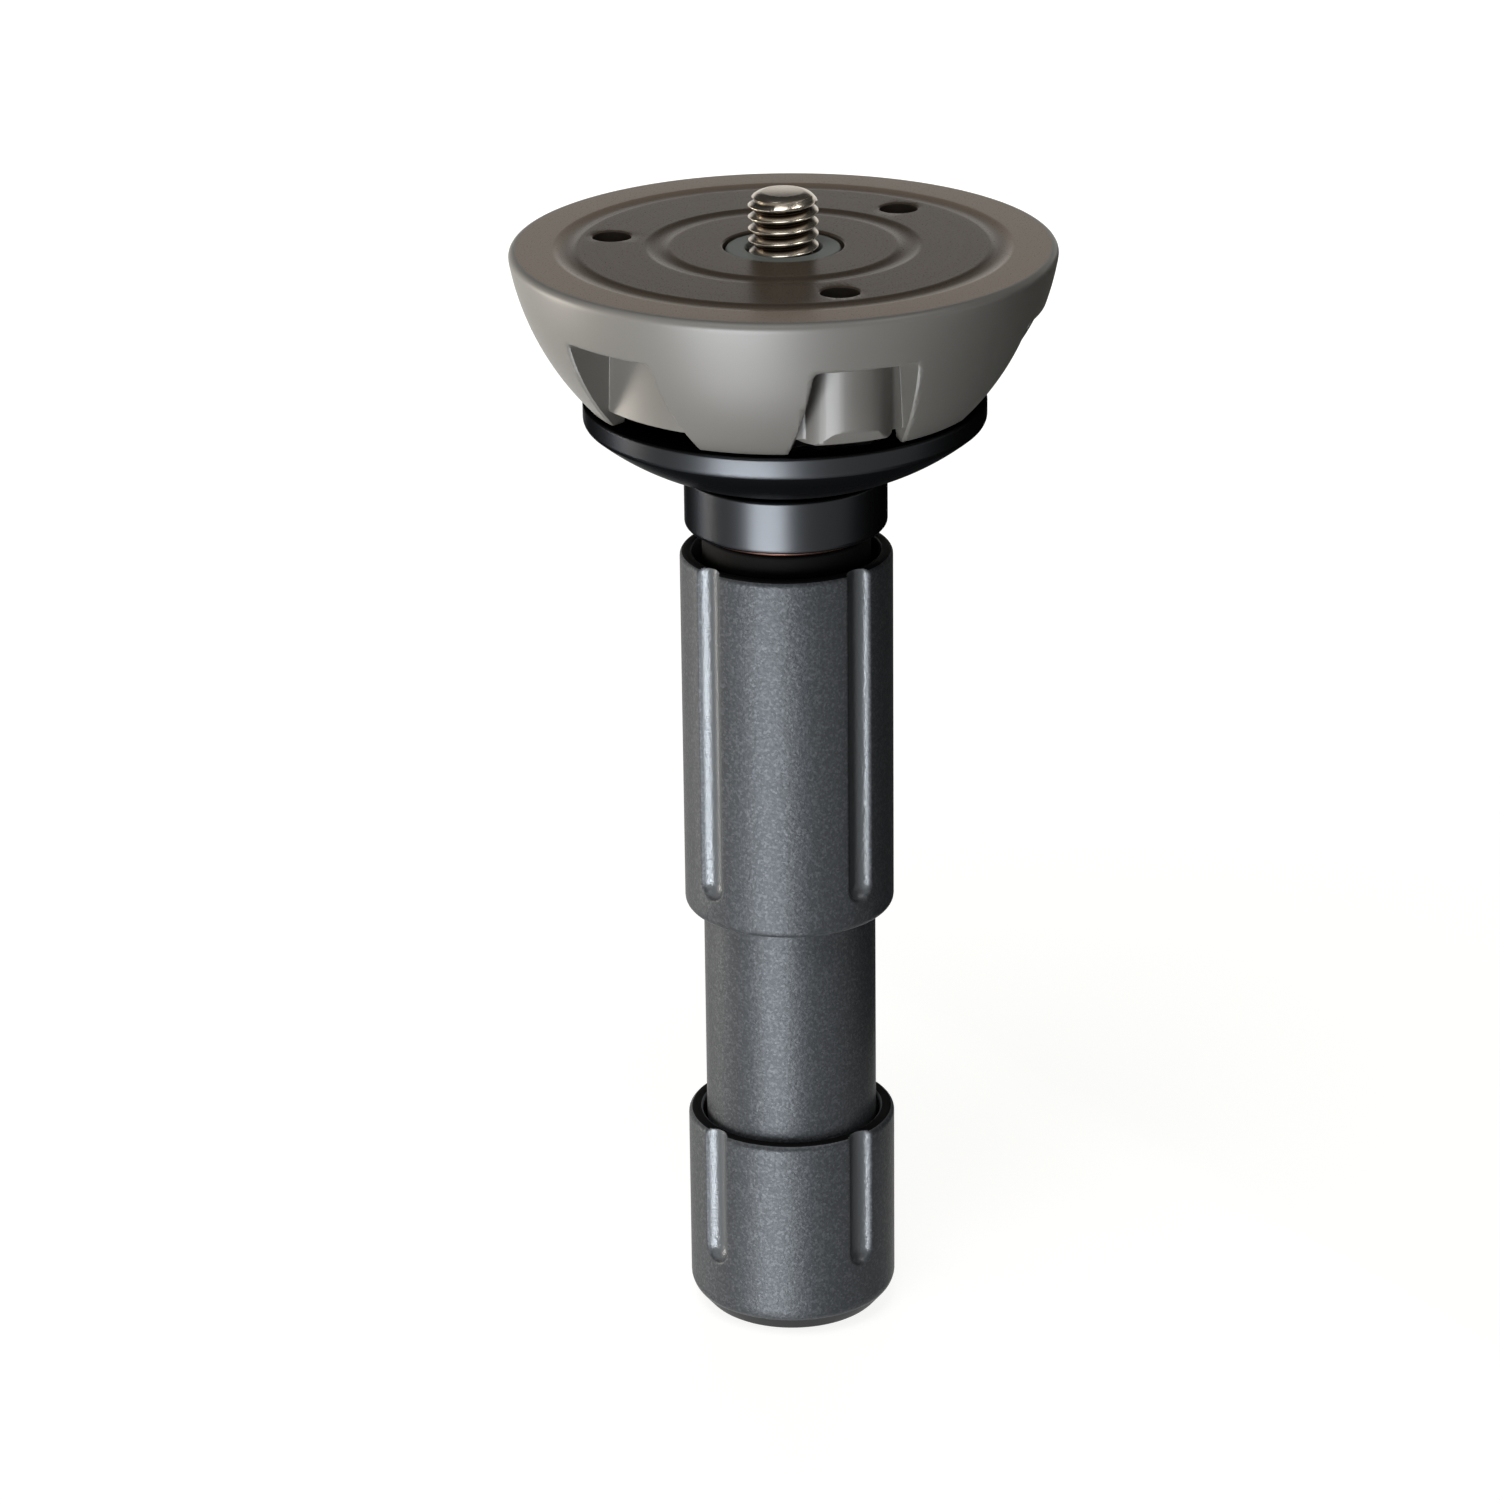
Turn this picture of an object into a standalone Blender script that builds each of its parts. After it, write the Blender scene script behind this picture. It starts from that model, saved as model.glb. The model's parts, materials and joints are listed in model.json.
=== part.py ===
"""A leveling half ball with a clamping handle, for a 75 mm tripod bowl.

The half ball sits in the bowl. A hollow threaded spindle hangs from its centre boss, and the
handle runs up that thread and presses the clamp disc against the bowl from below. The knob at
the bottom turns a rod inside the spindle, and the rod turns the captive 3/8 inch stud that
holds the camera head. Three set screws in the skirt lock the head from below.

The origin is the centre of the sphere, and +Z runs up along the stud. Heights are written as
depths below the flat top face. Angles are measured round the axis from the front, -Y,
towards +X.
"""

import math

import bmesh
import bpy
from mathutils import Matrix, Vector

MM = 0.001

# Clearances that the pieces share
GAP = 0.3 * MM                      # between faces that touch or slide
OVERRUN = 3.0 * MM                  # how far a cutter passes the wall it cuts
EDGE_BREAK = 0.3 * MM               # small chamfer on turned edges
MERGE = 0.001 * MM                  # points closer than this are one point
SLIVER = 0.01 * MM                  # points that cuts leave closer than this are one point

# Facets round the axis and along a rounded corner
BALL_SIDES = 60
DISC_SIDES = 48
GRIP_SIDES = 32
INNER_SIDES = 20
HOLE_SIDES = 12
CORNER_STEPS = 2
SPHERE_STEPS = 5
BELLY_STEPS = 3

# Half ball: the sphere, its flat top and the skirt
BALL_RADIUS = 37.5 * MM
BALL_CENTRE_RISE = 5.2 * MM         # sphere centre above the top face
RIM_ROUND = 1.0 * MM
SKIRT_LATITUDE = math.radians(44.107)   # of the skirt's foot, below the sphere's equator
SKIRT_FOOT_WALL = 2.33 * MM         # thickness at the foot, between the windows
SKIRT_WALL = 2.9 * MM               # thickness behind the windows
SKIRT_DRAFT = 0.4 * MM
PLATE_THICKNESS = 6.8 * MM
CAVITY_ROUND = 1.5 * MM
TOP_FACE = -BALL_CENTRE_RISE

# Half ball: shallow turned grooves in the top face
GROOVE_SLOPE = 0.3 * MM
INNER_GROOVE_RADIUS = 16.0 * MM
INNER_GROOVE_WIDTH = 2.0 * MM
INNER_GROOVE_DEPTH = 0.35 * MM
OUTER_GROOVE_INSET = 8.737 * MM      # from the rim in to the groove's inner edge
OUTER_GROOVE_WIDTH = 2.1 * MM
OUTER_GROOVE_DEPTH = 0.4 * MM

# Half ball: six windows in the skirt, with three set screw bosses and six ribs
WINDOW_COUNT = 6
WINDOW_ANGLE = math.radians(18.0)
WINDOW_TOP_DEPTH = 7.3 * MM
WINDOW_TOP_WIDTH = 14.3 * MM
WINDOW_FOOT_WIDTH = 15.7 * MM
WINDOW_CORNER_ROUND = 1.0 * MM
WINDOW_WALL_RISE = 2.3 * MM         # foot of the wall behind, above the skirt's foot
SCREW_BOSS_COUNT = 3
SCREW_CIRCLE_INSET = 0.9 * MM       # screw axis inside the skirt's bore
SCREW_BOSS_RADIUS = 6.4 * MM
SCREW_BOSS_PROUD = 0.3 * MM         # boss foot below the foot of the wall beside it
RIB_THICKNESS = 2.4 * MM
RIB_DEPTH = 12.5 * MM
RIB_BITE = 1.2 * MM                 # how far a rib runs into what it joins

# Set screws, M5, driven from below
SET_SCREW_RADIUS = 2.35 * MM
SET_SCREW_LENGTH = 10.0 * MM
SET_SCREW_TOP_DEPTH = 2.5 * MM
SET_SCREW_POINT = 0.8 * MM
SET_SCREW_SOCKET_FLATS = 2.5 * MM
SET_SCREW_SOCKET_DEPTH = 3.0 * MM

# Stud, 3/8 inch, with its flange held under the collar
STUD_RADIUS = 4.7625 * MM
STUD_RISE = 7.4 * MM
STUD_TIP_CHAMFER = 1.1 * MM
STUD_FLANGE_RADIUS = 6.3 * MM
STUD_FLANGE_THICKNESS = 2.0 * MM
STUD_SPIGOT_RADIUS = 2.6 * MM
STUD_SPIGOT_LENGTH = 11.6 * MM
COLLAR_TOP_DEPTH = 1.0 * MM
COLLAR_THICKNESS = 1.6 * MM
COLLAR_WALL = 2.8 * MM
STUD_WASHER_THICKNESS = 1.0 * MM
STUD_PIN_RADIUS = 1.0 * MM
STUD_PIN_DROP = 6.0 * MM            # pin axis below the top of the spindle

# Spindle: a threaded tube fixed in the centre boss by its lock nut
SPINDLE_WALL = 3.1 * MM
SPINDLE_END_LENGTH = 2.5 * MM       # below the stop ring
BOSS_WALL = 4.3 * MM
BOSS_RISE = 4.4 * MM                # foot of the boss above the skirt's foot
LOCK_NUT_WALL = 3.7 * MM            # from the thread to the middle of a flat
LOCK_NUT_THICKNESS = 4.0 * MM
STOP_RING_THICKNESS = 1.2 * MM
STOP_RING_SEAT_DEPTH = 1.0 * MM
STOP_RING_PROUD = 1.2 * MM          # ring outside the thread, inside the tube's bore
RING_SLOT_WIDTH = 3.0 * MM

# Clamp disc: a dished disc with a plain rim
DISC_PROUD = 0.57 * MM              # rim of the disc outside the skirt's foot
DISC_RIM_HEIGHT = 2.8 * MM
DISC_RIM_LAND = 3.5 * MM            # flat ring that presses on the bowl
DISC_HEIGHT = 10.1 * MM             # from the rim's top to the neck
DISC_NECK_WALL = 2.1 * MM
DISC_NECK_HEIGHT = 0.3 * MM
DISC_FOOT_PROUD = 0.26 * MM         # foot of the disc outside the hub
DISC_BELLY_SHARE = 0.053            # bulge of the underside, as a share of its slant
DISC_WALL = 3.2 * MM
DISC_DISH_STEP = 1.5 * MM

# Hub, with the guide bush that carries it and the disc on the spindle
HUB_WALL = 1.54 * MM                # round the recess in its foot
HUB_HEIGHT = 6.9 * MM
HUB_FOOT_ROUND = 1.0 * MM
HUB_RECESS_DEPTH = 4.0 * MM
BUSH_RUNNING_GAP = 0.35 * MM
BUSH_WALL = 1.85 * MM
BUSH_FLANGE_PROUD = 2.4 * MM
BUSH_FLANGE_THICKNESS = 1.2 * MM
BUSH_END_LENGTH = 1.2 * MM
BUSH_RING_THICKNESS = 1.0 * MM
BUSH_RING_SEAT_DEPTH = 0.7 * MM
BUSH_RING_WIDTH = 2.3 * MM

# Thrust washer, and the sleeve that the handle pushes it with
THRUST_PROUD = 0.4 * MM             # washer outside the sleeve
THRUST_THICKNESS = 1.1 * MM
SLEEVE_GAP = 1.4 * MM               # between the sleeve and the mouth of the grip

# Handle: nut, tube, upper grip and end bush
TRAVEL = 12.0 * MM                  # of the clamp, down from where the disc meets the ball
NUT_WALL = 2.3 * MM
NUT_LENGTH = 14.0 * MM
NUT_GROOVE_DEPTH = 0.7 * MM
NUT_GROOVE_LENGTH = 3.0 * MM
NUT_SCREW_RADIUS = 1.5 * MM
NUT_SCREW_BITE = 1.5 * MM
TUBE_SOCKET_WALL = 1.17 * MM        # round the nut, and round the end bush's flange
TUBE_STEP = 1.3 * MM                # from the sockets in to the bore between them
TUBE_LENGTH = 78.7 * MM
TUBE_END_CHAMFER = 0.8 * MM
GRIP_WALL = 2.3 * MM
GRIP_RIM_DROP = 4.2 * MM            # rim of the grip below the hub
GRIP_LENGTH = 52.5 * MM
GRIP_MOUTH_WALL = 1.67 * MM
GRIP_MOUTH_DEPTH = 7.0 * MM
GRIP_RIM_ROUND = 0.9 * MM
GRIP_LIP_ROUND = 0.5 * MM
GRIP_FOOT_ROUND = 1.2 * MM
END_BUSH_LENGTH = 10.4 * MM
END_BUSH_FLANGE = 1.9 * MM
END_BUSH_INSET = 0.1 * MM

# Finger grooves down both grips, open at the rim and round at the foot
FINGER_COUNT = 4
FINGER_WIDTH = 4.0 * MM
FINGER_DEPTH = 1.4 * MM
GRIP_FINGER_END = 5.5 * MM          # left plain above the grip's foot
GRIP_FINGER_ANGLE = math.radians(39.0)
KNOB_FINGER_END = 9.3 * MM          # left plain above the knob's foot
KNOB_FINGER_ANGLE = math.radians(43.0)

# Drive rod and knob
ROD_RADIUS = 4.6 * MM
ROD_TOP_DROP = 1.5 * MM             # below the top of the spindle
ROD_FLAT_DEPTH = 0.9 * MM
ROD_TAPPED_LENGTH = 12.0 * MM
ROD_POCKET_END = 0.6 * MM
KNOB_LAP = 1.8 * MM                 # rim of the knob above the tube's foot
KNOB_RUNNING_GAP = 0.55 * MM
KNOB_FLOOR_GAP = 1.0 * MM           # left under the tube at the end of its travel
KNOB_FOOT_INSET = 2.77 * MM
KNOB_FOOT_HEIGHT = 3.1 * MM
KNOB_FOOT_ROUND = 1.0 * MM
KNOB_WEB = 2.0 * MM                 # material between the insert and the screw head
INSERT_WALL = 2.1 * MM              # from the rod to the middle of a flat
INSERT_HEIGHT = 6.7 * MM
KNOB_SCREW_RADIUS = 2.35 * MM
KNOB_SCREW_BITE = 8.0 * MM
KNOB_SCREW_HEAD_RADIUS = 4.3 * MM
KNOB_SCREW_HEAD_HEIGHT = 2.5 * MM
KNOB_SCREW_SOCKET_FLATS = 3.0 * MM
KNOB_SCREW_SOCKET_DEPTH = 1.5 * MM
KNOB_WASHER_THICKNESS = 1.0 * MM
CAP_RADIUS = 6.2 * MM
CAP_WALL = 1.2 * MM
CAP_FACE = 1.5 * MM
CAP_HEADROOM = 0.7 * MM             # between the screw head and the cap's face

# Radii of the ball's rim and of the skirt's foot, and what follows from them
RIM_RADIUS = math.sqrt(BALL_RADIUS ** 2 - BALL_CENTRE_RISE ** 2)
SKIRT_FOOT_RADIUS = BALL_RADIUS * math.cos(SKIRT_LATITUDE)
SKIRT_BORE_RADIUS = SKIRT_FOOT_RADIUS - SKIRT_FOOT_WALL
SKIRT_WALL_RADIUS = SKIRT_BORE_RADIUS + SKIRT_WALL
OUTER_GROOVE_RADIUS = RIM_RADIUS - OUTER_GROOVE_INSET
SCREW_CIRCLE_RADIUS = SKIRT_BORE_RADIUS - SCREW_CIRCLE_INSET
DISC_RADIUS = SKIRT_FOOT_RADIUS + DISC_PROUD

# Heights, from the top face down, worked out from the sizes above
SKIRT_DEPTH = BALL_RADIUS * math.sin(SKIRT_LATITUDE) - BALL_CENTRE_RISE
WINDOW_WALL_DEPTH = SKIRT_DEPTH - WINDOW_WALL_RISE
BOSS_DEPTH = SKIRT_DEPTH - BOSS_RISE
COLLAR_SEAT = COLLAR_TOP_DEPTH + COLLAR_THICKNESS + GAP
FLANGE_TOP = COLLAR_SEAT
FLANGE_FOOT = FLANGE_TOP + STUD_FLANGE_THICKNESS
STUD_WASHER_TOP = FLANGE_FOOT + GAP
SPINDLE_SHOULDER = STUD_WASHER_TOP + STUD_WASHER_THICKNESS
SPINDLE_TOP = SPINDLE_SHOULDER + GAP
STUD_FOOT = FLANGE_FOOT + STUD_SPIGOT_LENGTH
STUD_PIN_LEVEL = SPINDLE_TOP + STUD_PIN_DROP
LOCK_NUT_TOP = BOSS_DEPTH + GAP
DISC_TOP = SKIRT_DEPTH + GAP
DISC_FOOT = DISC_TOP + DISC_HEIGHT
DISC_NECK_FOOT = DISC_FOOT + DISC_NECK_HEIGHT
HUB_TOP = DISC_NECK_FOOT + GAP
HUB_FOOT = HUB_TOP + HUB_HEIGHT
HUB_RECESS_TOP = HUB_FOOT - HUB_RECESS_DEPTH
DISC_FLOOR = DISC_NECK_FOOT - DISC_WALL
BUSH_FLANGE_FOOT = DISC_FLOOR - GAP
BUSH_TOP = BUSH_FLANGE_FOOT - BUSH_FLANGE_THICKNESS
BUSH_RING_TOP = HUB_RECESS_TOP + GAP
BUSH_RING_FOOT = BUSH_RING_TOP + BUSH_RING_THICKNESS
BUSH_FOOT = BUSH_RING_FOOT + GAP + BUSH_END_LENGTH
THRUST_TOP = HUB_FOOT + GAP
THRUST_FOOT = THRUST_TOP + THRUST_THICKNESS
SLEEVE_TOP = THRUST_FOOT + GAP
GRIP_TOP = HUB_FOOT + GRIP_RIM_DROP
GRIP_MOUTH_FOOT = GRIP_TOP + GRIP_MOUTH_DEPTH
SLEEVE_FOOT = GRIP_MOUTH_FOOT
NUT_TOP = SLEEVE_FOOT + GAP
NUT_FOOT = NUT_TOP + NUT_LENGTH
NUT_SCREW_LEVEL = NUT_TOP + NUT_LENGTH / 2
TUBE_TOP = NUT_TOP
TUBE_FOOT = TUBE_TOP + TUBE_LENGTH
GRIP_FOOT = GRIP_TOP + GRIP_LENGTH
STOP_RING_TOP = NUT_FOOT + TRAVEL + GAP
STOP_RING_FOOT = STOP_RING_TOP + STOP_RING_THICKNESS
SPINDLE_FOOT = STOP_RING_FOOT + GAP + SPINDLE_END_LENGTH
END_BUSH_FOOT = TUBE_FOOT - END_BUSH_INSET
END_BUSH_FLANGE_TOP = END_BUSH_FOOT - END_BUSH_FLANGE
END_BUSH_TOP = END_BUSH_FOOT - END_BUSH_LENGTH
ROD_TOP = SPINDLE_TOP + ROD_TOP_DROP
KNOB_TOP = TUBE_FOOT - KNOB_LAP
KNOB_FLOOR = TUBE_FOOT + TRAVEL + KNOB_FLOOR_GAP
INSERT_FOOT = KNOB_FLOOR + INSERT_HEIGHT
ROD_FOOT = INSERT_FOOT
KNOB_WEB_TOP = INSERT_FOOT + GAP
KNOB_WEB_FOOT = KNOB_WEB_TOP + KNOB_WEB
KNOB_WASHER_TOP = KNOB_WEB_FOOT + GAP
KNOB_WASHER_FOOT = KNOB_WASHER_TOP + KNOB_WASHER_THICKNESS
KNOB_HEAD_TOP = KNOB_WASHER_FOOT + GAP
KNOB_HEAD_FOOT = KNOB_HEAD_TOP + KNOB_SCREW_HEAD_HEIGHT
KNOB_FOOT = KNOB_HEAD_FOOT + CAP_HEADROOM + CAP_FACE
CAP_TOP = KNOB_HEAD_TOP

# Radii that follow from what a piece fits in or runs on
SPINDLE_BORE_RADIUS = ROD_RADIUS + GAP
SPINDLE_RADIUS = SPINDLE_BORE_RADIUS + SPINDLE_WALL
BOSS_BORE_RADIUS = SPINDLE_RADIUS + GAP
BOSS_RADIUS = BOSS_BORE_RADIUS + BOSS_WALL
FLANGE_BORE_RADIUS = STUD_FLANGE_RADIUS + GAP
COLLAR_BORE_RADIUS = STUD_RADIUS + GAP
COLLAR_RADIUS = COLLAR_BORE_RADIUS + COLLAR_WALL
COUNTERBORE_RADIUS = COLLAR_RADIUS + GAP
STUD_SOCKET_RADIUS = STUD_SPIGOT_RADIUS + GAP
PIN_HOLE_RADIUS = STUD_PIN_RADIUS + GAP
PIN_HALF_LENGTH = ROD_RADIUS - GAP
SCREW_HOLE_RADIUS = SET_SCREW_RADIUS + GAP
BUSH_BORE_RADIUS = SPINDLE_RADIUS + BUSH_RUNNING_GAP
BUSH_RADIUS = BUSH_BORE_RADIUS + BUSH_WALL
BUSH_RING_SEAT_RADIUS = BUSH_RADIUS - BUSH_RING_SEAT_DEPTH
BUSH_RING_BORE_RADIUS = BUSH_RING_SEAT_RADIUS + GAP
BUSH_RING_RADIUS = BUSH_RING_BORE_RADIUS + BUSH_RING_WIDTH
BUSH_FLANGE_RADIUS = BUSH_RADIUS + BUSH_FLANGE_PROUD
HUB_BORE_RADIUS = BUSH_RADIUS + GAP
HUB_RECESS_RADIUS = BUSH_RING_RADIUS + GAP
HUB_RADIUS = HUB_RECESS_RADIUS + HUB_WALL
DISC_NECK_RADIUS = HUB_BORE_RADIUS + DISC_NECK_WALL
DISC_FOOT_RADIUS = HUB_RADIUS + DISC_FOOT_PROUD
THREAD_BORE_RADIUS = SPINDLE_RADIUS + GAP
LOCK_NUT_FLATS = (THREAD_BORE_RADIUS + LOCK_NUT_WALL) * 2
STOP_RING_SEAT_RADIUS = SPINDLE_RADIUS - STOP_RING_SEAT_DEPTH
STOP_RING_BORE_RADIUS = STOP_RING_SEAT_RADIUS + GAP
STOP_RING_RADIUS = SPINDLE_RADIUS + STOP_RING_PROUD
NUT_RADIUS = THREAD_BORE_RADIUS + NUT_WALL
NUT_SOCKET_RADIUS = NUT_RADIUS + GAP
TUBE_BORE_RADIUS = NUT_SOCKET_RADIUS - TUBE_STEP
TUBE_RADIUS = NUT_SOCKET_RADIUS + TUBE_SOCKET_WALL
GRIP_BORE_RADIUS = TUBE_RADIUS + GAP
GRIP_RADIUS = GRIP_BORE_RADIUS + GRIP_WALL
GRIP_MOUTH_RADIUS = GRIP_RADIUS - GRIP_MOUTH_WALL
SLEEVE_RADIUS = GRIP_MOUTH_RADIUS - SLEEVE_GAP
THRUST_RADIUS = SLEEVE_RADIUS + THRUST_PROUD
NUT_SCREW_OUTER = TUBE_RADIUS - GAP
NUT_SCREW_INNER = NUT_RADIUS - NUT_SCREW_BITE
END_BUSH_RADIUS = TUBE_BORE_RADIUS - GAP
END_BUSH_FLANGE_RADIUS = NUT_RADIUS
END_BUSH_BORE_RADIUS = ROD_RADIUS + GAP
KNOB_CUP_RADIUS = TUBE_RADIUS + KNOB_RUNNING_GAP
KNOB_FOOT_RADIUS = GRIP_RADIUS - KNOB_FOOT_INSET
ROD_FLATS = (ROD_RADIUS - ROD_FLAT_DEPTH) * 2
TAPPED_RADIUS = KNOB_SCREW_RADIUS + GAP
INSERT_BORE_RADIUS = ROD_RADIUS + GAP
INSERT_FLATS = (INSERT_BORE_RADIUS + INSERT_WALL) * 2
CAP_POCKET_RADIUS = CAP_RADIUS + GAP

# Colours as linear red, green and blue, then roughness and metallic value
CAST_GREY = ((0.27, 0.265, 0.25), 0.42, 0.85)
DARK_ALLOY = ((0.055, 0.06, 0.068), 0.35, 0.8)
CHARCOAL_COAT = ((0.11, 0.118, 0.13), 0.5, 0.4)
BRIGHT_STEEL = ((0.62, 0.6, 0.56), 0.2, 1.0)
PLAIN_STEEL = ((0.4, 0.4, 0.39), 0.35, 1.0)
BLACK_STEEL = ((0.03, 0.03, 0.032), 0.4, 0.9)
BRASS = ((0.7, 0.5, 0.22), 0.3, 1.0)
BRONZE = ((0.5, 0.24, 0.12), 0.35, 1.0)
GREY_NYLON = ((0.2, 0.23, 0.22), 0.55, 0.0)
BLACK_NYLON = ((0.02, 0.02, 0.02), 0.55, 0.0)


def height(depth):
    """World height of a level given as a depth below the top face."""
    return TOP_FACE - depth


def make_material(name, look):
    """A Principled material from a colour, a roughness and a metallic value."""
    colour, roughness, metallic = look
    material = bpy.data.materials.new(name)
    material.use_nodes = True
    shader = material.node_tree.nodes["Principled BSDF"]
    shader.inputs["Base Color"].default_value = (*colour, 1.0)
    shader.inputs["Roughness"].default_value = roughness
    shader.inputs["Metallic"].default_value = metallic
    material.diffuse_color = (*colour, 1.0)
    return material


def add_object(name, bm, look=None):
    """Put a mesh into the scene, shaded smooth over its gentle edges."""
    bmesh.ops.remove_doubles(bm, verts=bm.verts, dist=MERGE)
    bmesh.ops.recalc_face_normals(bm, faces=bm.faces)
    mesh = bpy.data.meshes.new(name)
    bm.to_mesh(mesh)
    bm.free()
    mesh.shade_smooth()
    mesh.set_sharp_from_angle(angle=math.radians(35.0))
    piece = bpy.data.objects.new(name, mesh)
    bpy.context.scene.collection.objects.link(piece)
    if look is None:
        piece.hide_render = True
        piece.display_type = "WIRE"
    else:
        mesh.materials.append(make_material(name + "_finish", look))
    return piece


def rounded(corners, steps=CORNER_STEPS):
    """Points of a closed outline from (across, up, round) corners, with an arc at each round."""
    points = []
    for index, (across, up, radius) in enumerate(corners):
        corner = Vector((across, up))
        if radius <= 0:
            points.append(corner)
            continue
        before = Vector(corners[index - 1][:2]) - corner
        after = Vector(corners[(index + 1) % len(corners)][:2]) - corner
        half_angle = before.angle(after) / 2
        reach = radius / math.tan(half_angle)
        reach = min(reach, before.length / 2, after.length / 2)
        radius = reach * math.tan(half_angle)
        middle = corner + (before.normalized() + after.normalized()).normalized() * (
            radius / math.sin(half_angle))
        start = corner + before.normalized() * reach - middle
        end = corner + after.normalized() * reach - middle
        turn = start.angle_signed(end)
        for step in range(steps + 1):
            arm = start.copy()
            arm.rotate(Matrix.Rotation(-turn * step / steps, 2))
            points.append(middle + arm)
    return points


def bowed(start, end, bulge_share, steps):
    """Corners along a shallow arc between two (radius, depth) points, both left out."""
    start, end = Vector(start), Vector(end)
    slant = end - start
    side = Vector((-slant.y, slant.x)) * bulge_share
    corners = []
    for step in range(1, steps):
        share = step / steps
        point = start + slant * share - side * (1 - (2 * share - 1) ** 2)
        corners.append((point.x, point.y, 0))
    return corners


def turned_mesh(corners, sides, steps=CORNER_STEPS):
    """A solid of revolution from (radius, depth, round) corners."""
    points = rounded([(radius, height(depth), size) for radius, depth, size in corners], steps)
    bm = bmesh.new()
    ring = [bm.verts.new((point.x, 0, point.y)) for point in points]
    for index, vertex in enumerate(ring):
        following = ring[(index + 1) % len(ring)]
        if vertex.co.x > MERGE or following.co.x > MERGE:
            bm.edges.new((vertex, following))
    bmesh.ops.spin(bm, geom=bm.verts[:] + bm.edges[:], cent=(0, 0, 0), axis=(0, 0, 1),
                   angle=math.tau, steps=sides, use_merge=False)
    return bm


def turned(name, corners, sides, look=None, steps=CORNER_STEPS):
    """A turned piece, or a turned cutter where it has no look."""
    return add_object(name, turned_mesh(corners, sides, steps), look)


def ring_corners(inner, outer, top, foot, edge=EDGE_BREAK):
    """Corners of a plain ring with broken outer edges."""
    return [(inner, top, 0), (outer, top, edge), (outer, foot, edge), (inner, foot, 0)]


def extrude_outline(bm, points, along):
    """Fill a loop of points and extrude it along a vector."""
    face = bm.faces.new([bm.verts.new(point) for point in points])
    moved = bmesh.ops.extrude_face_region(bm, geom=[face])["geom"]
    bmesh.ops.translate(bm, verts=[item for item in moved if isinstance(item, bmesh.types.BMVert)],
                        vec=along)


def turned_copies(name, make, angles, look=None):
    """One object from copies of a mesh made at the front and turned to each angle."""
    whole = bmesh.new()
    for angle in angles:
        part = make()
        part.transform(Matrix.Rotation(angle, 4, "Z"))
        mesh = bpy.data.meshes.new(name)
        part.to_mesh(mesh)
        part.free()
        whole.from_mesh(mesh)
        bpy.data.meshes.remove(mesh)
    return add_object(name, whole, look)


def even_angles(first, count):
    """Angles spread evenly round the axis."""
    return [first + math.tau * index / count for index in range(count)]


def upright_bar(radius, distance, top, foot, sides):
    """A vertical bar whose axis stands at a distance in front of the main axis."""
    bm = bmesh.new()
    points = []
    for angle in even_angles(0, sides):
        points.append((radius * math.sin(angle), radius * math.cos(angle) - distance, height(foot)))
    extrude_outline(bm, points, (0, 0, foot - top))
    return bm


def hex_bar(flats, distance, top, foot):
    """A vertical hexagonal bar, given its width across the flats."""
    return upright_bar(flats / 2 / math.cos(math.pi / 6), distance, top, foot, 6)


def radial_bar(radius, level, inner, outer, sides):
    """A bar that points to the front, from one distance from the axis to another."""
    bm = bmesh.new()
    points = []
    for angle in even_angles(0, sides):
        points.append((radius * math.sin(angle), -inner, height(level) + radius * math.cos(angle)))
    extrude_outline(bm, points, (0, inner - outer, 0))
    return bm


def change(target, cutter, operation):
    """Add a Boolean modifier to a piece."""
    modifier = target.modifiers.new(cutter.name, "BOOLEAN")
    modifier.operation = operation
    modifier.solver = "EXACT"
    modifier.object = cutter


def cut(target, cutter):
    change(target, cutter, "DIFFERENCE")


def fuse(target, addition):
    change(target, addition, "UNION")


def close_slivers(target):
    """Weld the points that two cuts leave almost on top of each other."""
    modifier = target.modifiers.new("close_slivers", "WELD")
    modifier.merge_threshold = SLIVER


def sphere_corners(first_depth, last_depth):
    """Corners down the ball's skin, evenly spaced by latitude."""
    first = math.asin((BALL_CENTRE_RISE + first_depth) / BALL_RADIUS)
    last = math.asin((BALL_CENTRE_RISE + last_depth) / BALL_RADIUS)
    corners = []
    for step in range(SPHERE_STEPS + 1):
        latitude = first + (last - first) * step / SPHERE_STEPS
        depth = BALL_RADIUS * math.sin(latitude) - BALL_CENTRE_RISE
        corners.append((BALL_RADIUS * math.cos(latitude), depth, 0))
    return corners


def face_groove(radius, width, depth):
    """Corners of a shallow turned groove in the top face, with sloping sides."""
    return [
        (radius, 0, 0),
        (radius + GROOVE_SLOPE, depth, 0),
        (radius + width - GROOVE_SLOPE, depth, 0),
        (radius + width, 0, 0),
    ]


def window_prism():
    """The space of one skirt window, at the front, from inside the skirt to past the skin."""
    foot_depth = SKIRT_DEPTH + OVERRUN
    widening = (WINDOW_FOOT_WIDTH - WINDOW_TOP_WIDTH) / (SKIRT_DEPTH - WINDOW_TOP_DEPTH)
    foot_half = (WINDOW_TOP_WIDTH + widening * (foot_depth - WINDOW_TOP_DEPTH)) / 2
    top_half = WINDOW_TOP_WIDTH / 2
    outline = rounded([
        (-top_half, height(WINDOW_TOP_DEPTH), WINDOW_CORNER_ROUND),
        (top_half, height(WINDOW_TOP_DEPTH), WINDOW_CORNER_ROUND),
        (foot_half, height(foot_depth), 0),
        (-foot_half, height(foot_depth), 0),
    ])
    inner = SKIRT_BORE_RADIUS - OVERRUN
    outer = BALL_RADIUS + OVERRUN
    bm = bmesh.new()
    extrude_outline(bm, [(point.x, -inner, point.y) for point in outline], (0, inner - outer, 0))
    return bm


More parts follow.
